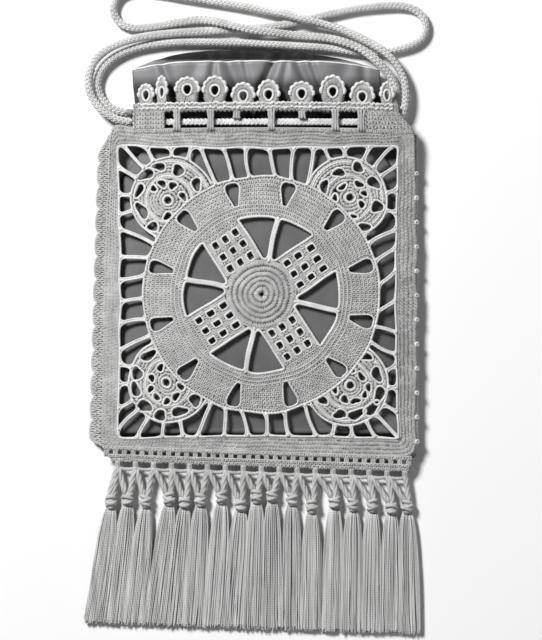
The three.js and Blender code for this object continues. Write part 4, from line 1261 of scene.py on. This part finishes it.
heads_x = np.linspace(*heading_ends(SLIT_DROP[1]), len(KNOTS))
heads = under_seam(heads_x, SLIT_DROP[1])
head_drop = np.linspace(SLIT_DROP[0] - MM, SLIT_DROP[1] + 2 * MM, 6)
for x in heads_x:
    for lane, yarn in ((-0.9, 0.85), (0, 1.05), (0.9, 0.85)):
        line = under_seam(np.full(6, x + lane * MM), head_drop)
        heading_parts.append(laid(line, 1.1 * MM, yarn * MM, heading_slope))
for left, right in zip(heads_x, heads_x[1:]):
    x = np.linspace(left, right, 9)
    drop = SLIT_DROP[1] + 0.8 * MM * np.sin(np.linspace(0, np.pi, 9)) + 0.4 * MM
    line = lifted(under_seam(x, drop), 1.2 * MM, heading_slope)
    heading_parts.append(twisted(line, 0.45 * MM, 2, 3.2 * MM, 0.7 * MM))

for number, (x, y) in enumerate(KNOTS):
    for side, head in ((-1, max(number - 1, 0)), (1, number)):
        lean = side * 1.2 * MM
        t = np.linspace(0, 1, 8)
        leg = np.stack([
            heads[head, 0] + (x + lean - heads[head, 0]) * t ** 0.85,
            heads[head, 1] + (y + 2 * MM - heads[head, 1]) * t,
            4.6 * MM - 0.6 * MM * t,
        ], axis=1)
        heading_parts.append(twisted(leg, 0.95 * MM, 4, 20 * MM, LEG_YARN))
    core = np.stack([np.full(6, x), np.linspace(y + 4 * MM, y - 4.5 * MM, 6), np.full(6, 3.7 * MM)], axis=1)
    heading_parts.append(threads(core[None], MM * np.array([1.4, 2.4, 2.7, 2.7, 2.4, 2.2]), sides=8))
    turn = np.linspace(0, 2 * np.pi, 18, endpoint=False)
    for drop, tilt, half in KNOT_WRAPS:
        wrap = np.stack([
            x + half * MM * np.cos(turn),
            y + drop * MM + tilt * MM * np.sin(turn + 2.3 * number),
            3.9 * MM + 0.9 * half * MM * np.sin(turn),
        ], axis=1)
        heading_parts.append(threads(wrap[None], 1.25 * MM, closed=True, up=(0, 1, 0)))
fringe_cotton = cotton("fringe_cotton", 0.36, 0.62, scale=420, along=0.04, turns=700, plies=2)
joined(
    "fringe_heading", heading_parts, crochet_cotton, "fringe", "fringe",
    ground=heading_ground, ground_finish=painted_shade_cotton,
)

# Fringe strands. Below each knot the cut threads hang free, swell into a tassel and spread until
# they meet their neighbours in a close curtain.
STRANDS = 108
STRAND_YARN = 0.34 * MM
STRAND_STEPS = 9
CURTAIN_HALF = 94.6 * MM
TASSEL_SHARES = (0, 0.06, 0.14, 0.3, 0.6, 1)
TASSEL_HALVES = MM * np.array([2.3, 3.7, 4.7, 5.5, 5.9, 6.1])
TASSEL_DEPTHS = MM * np.array([2.4, 4, 4, 3.4, 2.8, 2.4])
FRINGE_FOOT = -164.5 * MM
FRINGE_SLANT = -6.5 * MM
UNEVEN_CUT = 0.8 * MM

strand_share = np.append(0.997 * np.linspace(0, 1, STRAND_STEPS) ** 1.25, 1)
curtain = []
for number, (x, y) in enumerate(KNOTS):
    share = number / (len(KNOTS) - 1)
    end_x = CURTAIN_HALF * (2 * share - 1)
    lane = np.linspace(-1, 1, STRANDS)[chance.permutation(STRANDS)][:, None]
    lane = lane + chance.normal(0, 0.04, (STRANDS, 1))
    layer = chance.uniform(-0.5, 0.5, (STRANDS, 1))
    cut = chance.normal(0, UNEVEN_CUT, (STRANDS, 1)).clip(-2 * UNEVEN_CUT, 2 * UNEVEN_CUT)
    end_y = FRINGE_FOOT + FRINGE_SLANT * share + cut
    half = np.interp(strand_share, TASSEL_SHARES, TASSEL_HALVES)
    swing = chance.normal(0, 0.4 * MM, (STRANDS, 1))
    sway = swing * np.sin(6 * strand_share + chance.uniform(0, 6, (STRANDS, 1)))
    depth = np.interp(strand_share, TASSEL_SHARES, TASSEL_DEPTHS)
    crown = np.sqrt(np.maximum(1 - np.clip(np.abs(lane), 0, 1) ** 2, 0.04))
    curtain.append(np.stack([
        x + (end_x - x) * strand_share ** 1.1 + lane * half + sway * strand_share,
        (y - 3 * MM) + (end_y - y + 3 * MM) * strand_share,
        2.9 * MM - 0.5 * MM * strand_share + layer * depth * crown ** (1 - strand_share),
    ], axis=2))
joined("fringe_strands", [threads(np.concatenate(curtain), STRAND_YARN, sides=4)], fringe_cotton, "fringe")
